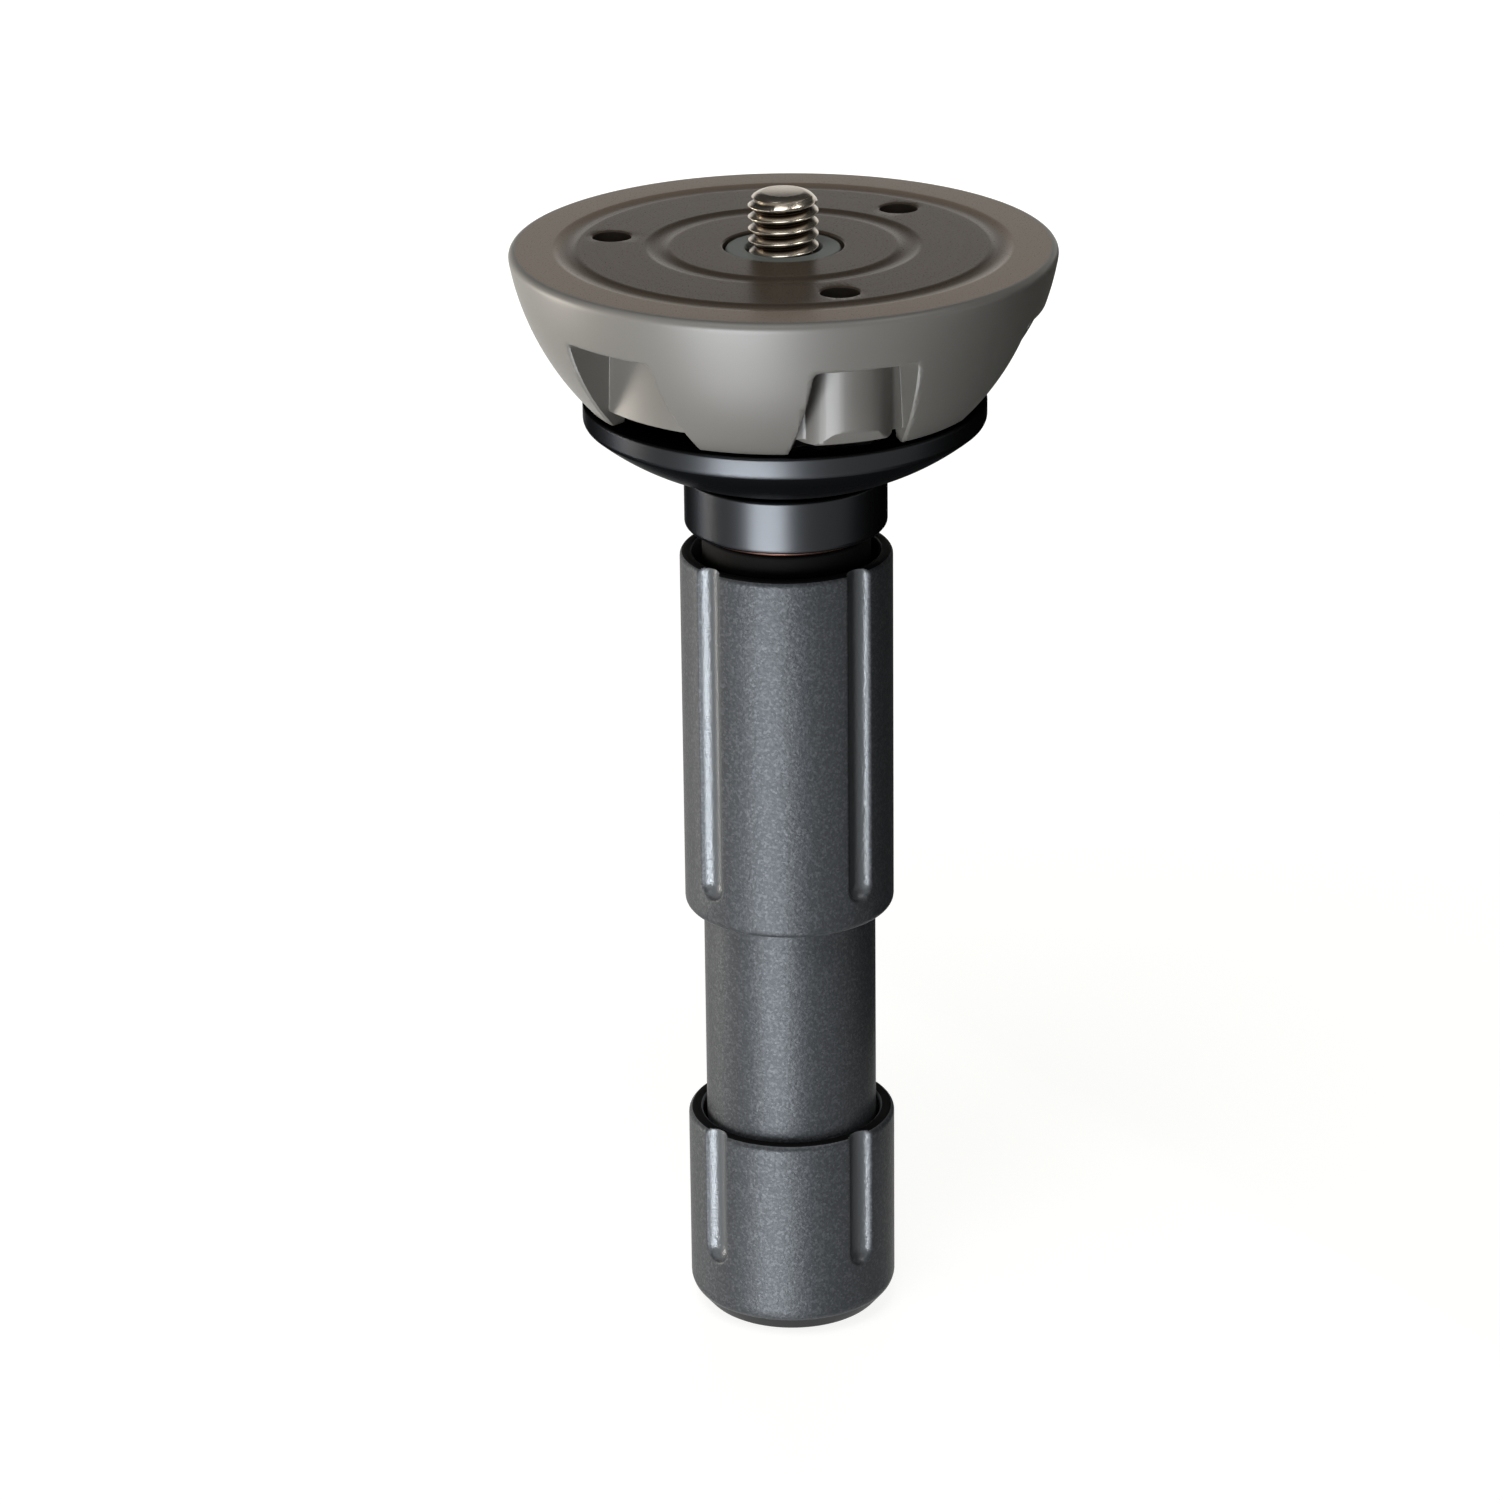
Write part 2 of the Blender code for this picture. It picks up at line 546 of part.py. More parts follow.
def rib_block(reach):
    """A rib under the top plate, at the front, from the centre boss out to a reach."""
    bm = bmesh.new()
    half = RIB_THICKNESS / 2
    inner = BOSS_RADIUS - RIB_BITE
    top = PLATE_THICKNESS - RIB_BITE
    corners = [(-half, -inner), (half, -inner), (half, -reach), (-half, -reach)]
    points = [(across, along, height(RIB_DEPTH)) for across, along in corners]
    extrude_outline(bm, points, (0, 0, RIB_DEPTH - top))
    return bm


def make_half_ball():
    """The cast half ball: turned body, skirt windows, screw bosses, ribs and screw holes."""
    rim = (RIM_RADIUS, 0, RIM_ROUND)
    corners = [(FLANGE_BORE_RADIUS, COLLAR_SEAT, 0), (COUNTERBORE_RADIUS, COLLAR_SEAT, 0),
               (COUNTERBORE_RADIUS, 0, EDGE_BREAK)]
    corners += face_groove(INNER_GROOVE_RADIUS, INNER_GROOVE_WIDTH, INNER_GROOVE_DEPTH)
    corners += face_groove(OUTER_GROOVE_RADIUS, OUTER_GROOVE_WIDTH, OUTER_GROOVE_DEPTH)
    corners += [rim]
    corners += sphere_corners(RIM_ROUND * 2, SKIRT_DEPTH)
    corners += [
        (SKIRT_BORE_RADIUS, SKIRT_DEPTH, 0),
        (SKIRT_BORE_RADIUS - SKIRT_DRAFT, PLATE_THICKNESS, CAVITY_ROUND),
        (BOSS_RADIUS + SKIRT_DRAFT, PLATE_THICKNESS, CAVITY_ROUND),
        (BOSS_RADIUS, BOSS_DEPTH, EDGE_BREAK),
        (BOSS_BORE_RADIUS, BOSS_DEPTH, 0),
        (BOSS_BORE_RADIUS, SPINDLE_SHOULDER, 0),
        (FLANGE_BORE_RADIUS, SPINDLE_SHOULDER, 0),
    ]
    ball = turned("half_ball", corners, BALL_SIDES, CAST_GREY)

    window_angles = even_angles(WINDOW_ANGLE, WINDOW_COUNT)
    screw_angles = even_angles(WINDOW_ANGLE, SCREW_BOSS_COUNT)
    core = turned("window_core", [
        (0, -OVERRUN, 0), (SKIRT_WALL_RADIUS, -OVERRUN, 0),
        (SKIRT_WALL_RADIUS, WINDOW_WALL_DEPTH, 0), (0, WINDOW_WALL_DEPTH, 0),
    ], BALL_SIDES)
    windows = turned_copies("window_cutter", window_prism, window_angles)
    cut(windows, core)
    cut(ball, windows)

    envelope_corners = [(0, 0, 0), (RIM_RADIUS, 0, 0)]
    envelope_corners += sphere_corners(RIM_ROUND, SKIRT_DEPTH)
    envelope = turned("ball_envelope", envelope_corners + [(0, SKIRT_DEPTH, 0)], BALL_SIDES)
    boss_foot = WINDOW_WALL_DEPTH + SCREW_BOSS_PROUD
    bosses = turned_copies("screw_bosses", lambda: upright_bar(
        SCREW_BOSS_RADIUS, SCREW_CIRCLE_RADIUS, PLATE_THICKNESS / 2, boss_foot, INNER_SIDES), screw_angles)
    change(bosses, envelope, "INTERSECT")
    fuse(ball, bosses)

    plain_angles = [angle for angle in window_angles if angle not in screw_angles]
    long_ribs = turned_copies("plain_ribs", lambda: rib_block(
        SKIRT_BORE_RADIUS + RIB_BITE), plain_angles)
    fuse(ball, long_ribs)
    short_ribs = turned_copies("boss_ribs", lambda: rib_block(
        SCREW_CIRCLE_RADIUS - SCREW_BOSS_RADIUS + RIB_BITE), screw_angles)
    fuse(ball, short_ribs)

    holes = turned_copies("screw_hole_cutter", lambda: upright_bar(
        SCREW_HOLE_RADIUS, SCREW_CIRCLE_RADIUS, -OVERRUN, SKIRT_DEPTH + OVERRUN, HOLE_SIDES), screw_angles)
    cut(ball, holes)
    close_slivers(ball)


def make_set_screws():
    """Three set screws in the bosses, each with its socket at the lower end."""
    foot = SET_SCREW_TOP_DEPTH + SET_SCREW_LENGTH
    corners = [(0, SET_SCREW_TOP_DEPTH, 0), (SET_SCREW_RADIUS, SET_SCREW_TOP_DEPTH, SET_SCREW_POINT),
               (SET_SCREW_RADIUS, foot, EDGE_BREAK), (0, foot, 0)]
    for number, angle in enumerate(even_angles(WINDOW_ANGLE, SCREW_BOSS_COUNT), start=1):
        name = "set_screw_" + str(number)
        screw = turned(name, corners, HOLE_SIDES, BLACK_STEEL, steps=1)
        socket = add_object(name + "_socket_cutter", hex_bar(
            SET_SCREW_SOCKET_FLATS, 0, foot - SET_SCREW_SOCKET_DEPTH, foot + OVERRUN))
        cut(screw, socket)
        place = Vector((0, -SCREW_CIRCLE_RADIUS, 0))
        place.rotate(Matrix.Rotation(angle, 3, "Z"))
        screw.location = place
        socket.location = place


def make_stud():
    """The captive stud, its collar, the washer under its flange and its cross pin."""
    stud = turned("mounting_stud", [
        (0, -STUD_RISE, 0),
        (STUD_RADIUS, -STUD_RISE, STUD_TIP_CHAMFER),
        (STUD_RADIUS, FLANGE_TOP, 0),
        (STUD_FLANGE_RADIUS, FLANGE_TOP, EDGE_BREAK),
        (STUD_FLANGE_RADIUS, FLANGE_FOOT, EDGE_BREAK),
        (STUD_SPIGOT_RADIUS, FLANGE_FOOT, 0),
        (STUD_SPIGOT_RADIUS, STUD_FOOT, EDGE_BREAK),
        (0, STUD_FOOT, 0),
    ], INNER_SIDES, BRIGHT_STEEL, steps=1)
    pin_hole = add_object("pin_hole_cutter", radial_bar(
        PIN_HOLE_RADIUS, STUD_PIN_LEVEL, -SPINDLE_RADIUS, SPINDLE_RADIUS, HOLE_SIDES))
    cut(stud, pin_hole)
    add_object("stud_pin", radial_bar(
        STUD_PIN_RADIUS, STUD_PIN_LEVEL, -PIN_HALF_LENGTH, PIN_HALF_LENGTH, HOLE_SIDES), PLAIN_STEEL)
    turned("stud_collar", ring_corners(
        COLLAR_BORE_RADIUS, COLLAR_RADIUS, COLLAR_TOP_DEPTH, COLLAR_TOP_DEPTH + COLLAR_THICKNESS),
        GRIP_SIDES, GREY_NYLON, steps=1)
    turned("stud_washer", ring_corners(
        STUD_SOCKET_RADIUS, STUD_FLANGE_RADIUS, STUD_WASHER_TOP, SPINDLE_SHOULDER, 0),
        INNER_SIDES, PLAIN_STEEL)
    return pin_hole


def split_ring(name, inner, outer, top, foot):
    """A retaining ring with the gap that lets it spring over its seat."""
    ring = turned(name, ring_corners(inner, outer, top, foot, 0), INNER_SIDES, BLACK_STEEL)
    slot = bmesh.new()
    half = RING_SLOT_WIDTH / 2
    reach = outer + OVERRUN
    points = [(-half, 0, height(foot + OVERRUN)), (half, 0, height(foot + OVERRUN)),
              (half, 0, height(top - OVERRUN)), (-half, 0, height(top - OVERRUN))]
    extrude_outline(slot, points, (0, reach, 0))
    cut(ring, add_object(name + "_slot_cutter", slot))


def make_spindle():
    """The hollow threaded spindle, its lock nut and the ring that stops the handle."""
    turned("clamp_spindle", [
        (SPINDLE_BORE_RADIUS, SPINDLE_TOP, 0),
        (SPINDLE_RADIUS, SPINDLE_TOP, EDGE_BREAK),
        (SPINDLE_RADIUS, STOP_RING_TOP - GAP, 0),
        (STOP_RING_SEAT_RADIUS, STOP_RING_TOP - GAP, 0),
        (STOP_RING_SEAT_RADIUS, STOP_RING_FOOT + GAP, 0),
        (SPINDLE_RADIUS, STOP_RING_FOOT + GAP, 0),
        (SPINDLE_RADIUS, SPINDLE_FOOT, EDGE_BREAK),
        (SPINDLE_BORE_RADIUS, SPINDLE_FOOT, 0),
    ], INNER_SIDES, PLAIN_STEEL, steps=1)
    split_ring("spindle_stop_ring", STOP_RING_BORE_RADIUS, STOP_RING_RADIUS, STOP_RING_TOP, STOP_RING_FOOT)
    nut_foot = LOCK_NUT_TOP + LOCK_NUT_THICKNESS
    nut = add_object("lock_nut", hex_bar(LOCK_NUT_FLATS, 0, LOCK_NUT_TOP, nut_foot), BLACK_STEEL)
    corner_radius = LOCK_NUT_FLATS / 2 / math.cos(math.pi / 6)
    cone = turned("lock_nut_cone", [
        (0, LOCK_NUT_TOP, 0),
        (LOCK_NUT_FLATS / 2, LOCK_NUT_TOP, 0),
        (corner_radius + OVERRUN, (LOCK_NUT_TOP + nut_foot) / 2, 0),
        (LOCK_NUT_FLATS / 2, nut_foot, 0),
        (0, nut_foot, 0),
    ], INNER_SIDES)
    bore = turned("lock_nut_bore", [
        (0, LOCK_NUT_TOP - OVERRUN, 0), (THREAD_BORE_RADIUS, LOCK_NUT_TOP - OVERRUN, 0),
        (THREAD_BORE_RADIUS, nut_foot + OVERRUN, 0), (0, nut_foot + OVERRUN, 0),
    ], INNER_SIDES)
    change(nut, cone, "INTERSECT")
    cut(nut, bore)


def make_clamp():
    """The clamp disc and hub, the bush and ring that join them, and the thrust washer."""
    rim_foot = (DISC_RADIUS, DISC_TOP + DISC_RIM_HEIGHT)
    land_radius = DISC_RADIUS - DISC_RIM_LAND
    dish_depth = DISC_TOP + DISC_RIM_HEIGHT
    floor_radius = BUSH_FLANGE_RADIUS + DISC_DISH_STEP
    corners = [
        (HUB_BORE_RADIUS, DISC_FLOOR, 0),
        (floor_radius, DISC_FLOOR, 0),
        (land_radius - DISC_DISH_STEP, dish_depth, DISC_DISH_STEP / 2),
        (land_radius, DISC_TOP, EDGE_BREAK),
        (DISC_RADIUS, DISC_TOP, EDGE_BREAK),
        (*rim_foot, EDGE_BREAK),
    ]
    corners += bowed(rim_foot, (DISC_FOOT_RADIUS, DISC_FOOT), DISC_BELLY_SHARE, BELLY_STEPS)
    corners += [
        (DISC_FOOT_RADIUS, DISC_FOOT, 0),
        (DISC_NECK_RADIUS, DISC_FOOT, 0),
        (DISC_NECK_RADIUS, DISC_NECK_FOOT, 0),
        (HUB_BORE_RADIUS, DISC_NECK_FOOT, 0),
    ]
    turned("clamp_disc", corners, DISC_SIDES, DARK_ALLOY, steps=1)
    turned("clamp_hub", [
        (HUB_BORE_RADIUS, HUB_TOP, 0),
        (HUB_RADIUS, HUB_TOP, EDGE_BREAK),
        (HUB_RADIUS, HUB_FOOT, HUB_FOOT_ROUND),
        (HUB_RECESS_RADIUS, HUB_FOOT, 0),
        (HUB_RECESS_RADIUS, HUB_RECESS_TOP, 0),
        (HUB_BORE_RADIUS, HUB_RECESS_TOP, 0),
    ], GRIP_SIDES, DARK_ALLOY)
    turned("guide_bush", [
        (BUSH_BORE_RADIUS, BUSH_TOP, 0),
        (BUSH_FLANGE_RADIUS, BUSH_TOP, EDGE_BREAK),
        (BUSH_FLANGE_RADIUS, BUSH_FLANGE_FOOT, 0),
        (BUSH_RADIUS, BUSH_FLANGE_FOOT, 0),
        (BUSH_RADIUS, BUSH_RING_TOP - GAP, 0),
        (BUSH_RING_SEAT_RADIUS, BUSH_RING_TOP - GAP, 0),
        (BUSH_RING_SEAT_RADIUS, BUSH_RING_FOOT + GAP, 0),
        (BUSH_RADIUS, BUSH_RING_FOOT + GAP, 0),
        (BUSH_RADIUS, BUSH_FOOT, EDGE_BREAK),
        (BUSH_BORE_RADIUS, BUSH_FOOT, 0),
    ], INNER_SIDES, BLACK_NYLON, steps=1)
    split_ring("bush_ring", BUSH_RING_BORE_RADIUS, BUSH_RING_RADIUS, BUSH_RING_TOP, BUSH_RING_FOOT)
    turned("thrust_washer", ring_corners(BUSH_BORE_RADIUS, THRUST_RADIUS, THRUST_TOP, THRUST_FOOT),
           GRIP_SIDES, BRONZE, steps=1)


def finger_radius(outer):
    """Radius of the round cutter that leaves a groove of the set width and depth."""
    half = FINGER_WIDTH / 2
    crown = outer - math.sqrt(outer ** 2 - half ** 2)
    drop = FINGER_DEPTH - crown
    return (half ** 2 + drop ** 2) / (2 * drop)


def finger_cutter(name, top, foot, first_angle):
    """Round-ended cutters for the finger grooves, open past the rim."""
    radius = finger_radius(GRIP_RADIUS)
    distance = GRIP_RADIUS - FINGER_DEPTH + radius

    def make():
        bm = turned_mesh([(0, top - OVERRUN, 0), (radius, top - OVERRUN, 0),
                          (radius, foot, radius), (0, foot, 0)], HOLE_SIDES)
        bmesh.ops.translate(bm, verts=bm.verts, vec=(0, -distance, 0))
        return bm

    return turned_copies(name, make, even_angles(first_angle, FINGER_COUNT))


def make_handle():
    """The handle: thrust sleeve, brass nut, tube, upper grip and end bush."""
    turned("thrust_sleeve", ring_corners(THREAD_BORE_RADIUS, SLEEVE_RADIUS, SLEEVE_TOP, SLEEVE_FOOT),
           GRIP_SIDES, BLACK_STEEL, steps=1)
    groove_top = NUT_SCREW_LEVEL + NUT_SCREW_RADIUS + GAP * 3
    groove_foot = groove_top + NUT_GROOVE_LENGTH
    nut = turned("drive_nut", [
        (THREAD_BORE_RADIUS, NUT_TOP, 0),
        (NUT_RADIUS, NUT_TOP, EDGE_BREAK),
        (NUT_RADIUS, groove_top, 0),
        (NUT_RADIUS - NUT_GROOVE_DEPTH, groove_top, 0),
        (NUT_RADIUS - NUT_GROOVE_DEPTH, groove_foot, 0),
        (NUT_RADIUS, groove_foot, 0),
        (NUT_RADIUS, NUT_FOOT, EDGE_BREAK),
        (THREAD_BORE_RADIUS, NUT_FOOT, 0),
    ], INNER_SIDES, BRASS, steps=1)
    tube = turned("handle_tube", [
        (NUT_SOCKET_RADIUS, TUBE_TOP, 0),
        (TUBE_RADIUS, TUBE_TOP, EDGE_BREAK),
        (TUBE_RADIUS, TUBE_FOOT, TUBE_END_CHAMFER),
        (NUT_SOCKET_RADIUS, TUBE_FOOT, 0),
        (NUT_SOCKET_RADIUS, END_BUSH_FLANGE_TOP - GAP, 0),
        (TUBE_BORE_RADIUS, END_BUSH_FLANGE_TOP - GAP, 0),
        (TUBE_BORE_RADIUS, NUT_FOOT + GAP, 0),
        (NUT_SOCKET_RADIUS, NUT_FOOT + GAP, 0),
    ], GRIP_SIDES, CHARCOAL_COAT, steps=1)
    screw_hole = add_object("nut_screw_hole_cutter", radial_bar(
        NUT_SCREW_RADIUS + GAP, NUT_SCREW_LEVEL, NUT_SCREW_INNER - GAP, TUBE_RADIUS + OVERRUN, HOLE_SIDES))
    cut(nut, screw_hole)
    cut(tube, screw_hole)
    add_object("nut_lock_screw", radial_bar(
        NUT_SCREW_RADIUS, NUT_SCREW_LEVEL, NUT_SCREW_INNER, NUT_SCREW_OUTER, HOLE_SIDES), BLACK_STEEL)
    grip = turned("upper_grip", [
        (GRIP_MOUTH_RADIUS, GRIP_TOP, GRIP_LIP_ROUND),
        (GRIP_RADIUS, GRIP_TOP, GRIP_RIM_ROUND),
        (GRIP_RADIUS, GRIP_FOOT, GRIP_FOOT_ROUND),
        (GRIP_BORE_RADIUS, GRIP_FOOT, 0),
        (GRIP_BORE_RADIUS, GRIP_MOUTH_FOOT, 0),
        (GRIP_MOUTH_RADIUS, GRIP_MOUTH_FOOT, 0),
    ], GRIP_SIDES, CHARCOAL_COAT)
    cut(grip, finger_cutter("grip_finger_cutter", GRIP_TOP, GRIP_FOOT - GRIP_FINGER_END,
                            GRIP_FINGER_ANGLE))
    turned("tube_end_bush", [
        (END_BUSH_BORE_RADIUS, END_BUSH_TOP, 0),
        (END_BUSH_RADIUS, END_BUSH_TOP, EDGE_BREAK),
        (END_BUSH_RADIUS, END_BUSH_FLANGE_TOP, 0),
        (END_BUSH_FLANGE_RADIUS, END_BUSH_FLANGE_TOP, 0),
        (END_BUSH_FLANGE_RADIUS, END_BUSH_FOOT, EDGE_BREAK),
        (END_BUSH_BORE_RADIUS, END_BUSH_FOOT, 0),
    ], INNER_SIDES, BLACK_NYLON, steps=1)


def flats_cutter(name, flats, top, foot, outer):
    """Two blocks that leave a round bar a set width across its flats."""
    bm = bmesh.new()
    for side in (-1, 1):
        near = side * flats / 2
        far = side * outer
        points = [(near, -outer, height(foot)), (far, -outer, height(foot)),
                  (far, outer, height(foot)), (near, outer, height(foot))]
        extrude_outline(bm, points, (0, 0, foot - top))
    return add_object(name, bm)


def make_rod(pin_hole):
    """The drive rod: a socket for the stud, a tapped lower end and two flats."""
    rod = turned("drive_rod", [
        (0, STUD_FOOT + ROD_POCKET_END, 0),
        (STUD_SOCKET_RADIUS, STUD_FOOT + ROD_POCKET_END, 0),
        (STUD_SOCKET_RADIUS, ROD_TOP, 0),
        (ROD_RADIUS, ROD_TOP, EDGE_BREAK),
        (ROD_RADIUS, ROD_FOOT, EDGE_BREAK),
        (TAPPED_RADIUS, ROD_FOOT, 0),
        (TAPPED_RADIUS, ROD_FOOT - ROD_TAPPED_LENGTH, 0),
        (0, ROD_FOOT - ROD_TAPPED_LENGTH, 0),
    ], INNER_SIDES, PLAIN_STEEL, steps=1)
    cut(rod, pin_hole)
    cut(rod, flats_cutter("rod_flats_cutter", ROD_FLATS, KNOB_FLOOR, ROD_FOOT + OVERRUN,
                          ROD_RADIUS + OVERRUN))


def make_knob():
    """The lower knob with its insert, washer, screw and end cap."""
    knob = turned("lower_knob", [
        (KNOB_CUP_RADIUS, KNOB_TOP, GRIP_LIP_ROUND),
        (GRIP_RADIUS, KNOB_TOP, GRIP_RIM_ROUND),
        (GRIP_RADIUS, KNOB_FOOT - KNOB_FOOT_HEIGHT, KNOB_FOOT_ROUND),
        (KNOB_FOOT_RADIUS, KNOB_FOOT, KNOB_FOOT_ROUND),
        (CAP_POCKET_RADIUS, KNOB_FOOT, 0),
        (CAP_POCKET_RADIUS, KNOB_WEB_FOOT, 0),
        (TAPPED_RADIUS, KNOB_WEB_FOOT, 0),
        (TAPPED_RADIUS, KNOB_FLOOR, 0),
        (KNOB_CUP_RADIUS, KNOB_FLOOR, 0),
    ], GRIP_SIDES, CHARCOAL_COAT)
    cut(knob, finger_cutter("knob_finger_cutter", KNOB_TOP, KNOB_FOOT - KNOB_FINGER_END,
                            KNOB_FINGER_ANGLE))
    cut(knob, add_object("insert_pocket_cutter", hex_bar(
        INSERT_FLATS + GAP * 2, 0, KNOB_FLOOR - OVERRUN, KNOB_WEB_TOP)))

    insert = add_object("knob_insert", hex_bar(INSERT_FLATS, 0, KNOB_FLOOR, INSERT_FOOT), BRASS)
    bore = turned("insert_bore_cutter", [
        (0, KNOB_FLOOR - OVERRUN, 0), (INSERT_BORE_RADIUS, KNOB_FLOOR - OVERRUN, 0),
        (INSERT_BORE_RADIUS, INSERT_FOOT + OVERRUN, 0), (0, INSERT_FOOT + OVERRUN, 0),
    ], INNER_SIDES)
    cut(bore, flats_cutter("insert_flats_cutter", ROD_FLATS + GAP * 2, KNOB_FLOOR - OVERRUN * 2,
                           INSERT_FOOT + OVERRUN * 2, ROD_RADIUS + OVERRUN))
    cut(insert, bore)

    turned("knob_washer", ring_corners(TAPPED_RADIUS, CAP_RADIUS, KNOB_WASHER_TOP, KNOB_WASHER_FOOT, 0),
           INNER_SIDES, PLAIN_STEEL)
    screw_top = ROD_FOOT - KNOB_SCREW_BITE
    screw = turned("knob_screw", [
        (0, screw_top, 0),
        (KNOB_SCREW_RADIUS, screw_top, EDGE_BREAK),
        (KNOB_SCREW_RADIUS, KNOB_HEAD_TOP, 0),
        (KNOB_SCREW_HEAD_RADIUS, KNOB_HEAD_TOP, 0),
        (KNOB_SCREW_HEAD_RADIUS, KNOB_HEAD_FOOT, EDGE_BREAK),
        (0, KNOB_HEAD_FOOT, 0),
    ], INNER_SIDES, BLACK_STEEL, steps=1)
    cut(screw, add_object("knob_screw_socket_cutter", hex_bar(
        KNOB_SCREW_SOCKET_FLATS, 0, KNOB_HEAD_FOOT - KNOB_SCREW_SOCKET_DEPTH, KNOB_HEAD_FOOT + OVERRUN)))
    turned("knob_end_cap", [
        (CAP_RADIUS - CAP_WALL, CAP_TOP, 0),
        (CAP_RADIUS, CAP_TOP, 0),
        (CAP_RADIUS, KNOB_FOOT, EDGE_BREAK),
        (0, KNOB_FOOT, 0),
        (0, KNOB_FOOT - CAP_FACE, 0),
        (CAP_RADIUS - CAP_WALL, KNOB_FOOT - CAP_FACE, 0),
    ], INNER_SIDES, BLACK_NYLON, steps=1)


def main():
    for item in list(bpy.data.objects):
        bpy.data.objects.remove(item)
    make_half_ball()
    make_set_screws()
    pin_hole = make_stud()
    make_spindle()
    make_clamp()
    make_handle()
    make_rod(pin_hole)
    make_knob()


main()
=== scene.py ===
# %% [markdown]
# # A leveling half ball
# A camera head stands on the flat face of this part, and the part sits in a tripod's bowl. A long
# handle screws a disc up against the bowl from below, and a knob at the bottom turns the stud that
# holds the head. This lesson remodels the pieces that show, with rounded edges, threads and
# finishes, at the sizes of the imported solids, and leaves the hidden ones as they are.

# %% Load the frame and its box
import json
import math

import bmesh
import bpy
from mathutils import Matrix, Vector

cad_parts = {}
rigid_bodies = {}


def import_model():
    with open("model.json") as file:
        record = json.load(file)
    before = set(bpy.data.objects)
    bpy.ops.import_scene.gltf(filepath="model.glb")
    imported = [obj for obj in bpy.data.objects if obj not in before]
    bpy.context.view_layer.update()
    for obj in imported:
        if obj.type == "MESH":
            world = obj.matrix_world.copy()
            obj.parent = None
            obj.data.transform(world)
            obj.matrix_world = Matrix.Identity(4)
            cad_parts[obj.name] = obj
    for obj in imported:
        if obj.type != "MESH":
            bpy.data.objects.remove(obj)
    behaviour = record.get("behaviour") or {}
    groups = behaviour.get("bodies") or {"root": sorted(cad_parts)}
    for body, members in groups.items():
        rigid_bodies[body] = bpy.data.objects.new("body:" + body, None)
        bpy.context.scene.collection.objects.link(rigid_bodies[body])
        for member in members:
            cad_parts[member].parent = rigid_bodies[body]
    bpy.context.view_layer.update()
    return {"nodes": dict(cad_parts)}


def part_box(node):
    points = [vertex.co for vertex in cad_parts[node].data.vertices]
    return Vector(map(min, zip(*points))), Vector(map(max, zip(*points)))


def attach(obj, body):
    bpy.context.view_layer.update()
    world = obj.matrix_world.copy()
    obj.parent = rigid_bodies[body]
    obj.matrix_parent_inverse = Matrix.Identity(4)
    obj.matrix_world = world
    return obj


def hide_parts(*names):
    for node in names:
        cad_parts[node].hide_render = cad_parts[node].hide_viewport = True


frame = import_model()
print("Nodes in the frame:", len(frame["nodes"]))

# %% [markdown]
# ## How places are written
# A turned piece is easiest to read as a list of radii and depths, so every depth is counted in
# millimetres down from the flat top face. Angles run round the axis from the front towards +X.

# %% Units and places
MM = 0.001
TOP_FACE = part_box("half_ball")[1].z
TOUCH = 0.002 * MM  # points closer than this are one point
BALL_RADIUS = 37.5


def level(depth):
    """World height of a depth in millimetres below the top face."""
    return TOP_FACE - depth * MM


def around(angle):
    """A turn about the main axis, from the front to an angle in degrees."""
    return Matrix.Rotation(math.radians(angle), 4, "Z")


print("Top face at", round(TOP_FACE / MM, 2), "mm")

# %% [markdown]
# ## Selecting, and closing a mesh
# Most steps below are the ones a hand would take in edit mode: select some points, pull or bevel
# them, merge what lies on the same spot and turn all the faces outwards.

# %% Edit helpers
def nothing_selected():
    bpy.ops.object.select_all(action="DESELECT")


def make_active(piece):
    nothing_selected()
    piece.select_set(True)
    bpy.context.view_layer.objects.active = piece


def add_shape(add, **settings):
    """Add a primitive, and apply its place and turn to its mesh."""
    nothing_selected()
    add(**settings)
    bpy.ops.object.transform_apply(location=True, rotation=True, scale=True)
    return bpy.context.object


def select_all():
    bpy.ops.mesh.select_all(action="SELECT")


def select_points(piece, chosen):
    """In edit mode, select only the points for which chosen(place) is true."""
    bpy.ops.mesh.select_all(action="DESELECT")
    mesh = bmesh.from_edit_mesh(piece.data)
    for point in mesh.verts:
        point.select = chosen(point.co)
    mesh.select_flush(True)
    bmesh.update_edit_mesh(piece.data)


def select_edges(piece, chosen):
    """In edit mode, select only the edges for which chosen(edge) is true."""
    bpy.ops.mesh.select_mode(type="EDGE")
    bpy.ops.mesh.select_all(action="DESELECT")
    mesh = bmesh.from_edit_mesh(piece.data)
    for edge in mesh.edges:
        edge.select = chosen(edge)
    bmesh.update_edit_mesh(piece.data)


def close_up(piece):
    """Merge the points that lie on each other, turn all faces outwards and leave edit mode."""
    select_all()
    bpy.ops.mesh.remove_doubles(threshold=TOUCH)
    bpy.ops.mesh.normals_make_consistent(inside=False)
    bpy.ops.object.mode_set(mode="OBJECT")
    return piece


# %% [markdown]
# ## Turning on a lathe
# Nearly every piece here was turned, so one helper does the work of the lathe. A point is pulled
# from corner to corner to draw half of the section, chosen corners are rounded with a vertex bevel,
# and Spin sweeps the section round the axis. Bevels on a finished solid would be less clean.

# %% Draw a half-section and spin it
def start_point(name, radius, depth):
    """A new piece that is a single selected point, in edit mode."""
    piece = add_shape(
        bpy.ops.mesh.primitive_plane_add, size=MM, location=(radius * MM, 0, level(depth)))
    piece.name = name
    bpy.ops.object.mode_set(mode="EDIT")
    bpy.ops.mesh.select_mode(type="VERT")
    select_all()
    bpy.ops.mesh.merge(type="CENTER")
    return piece


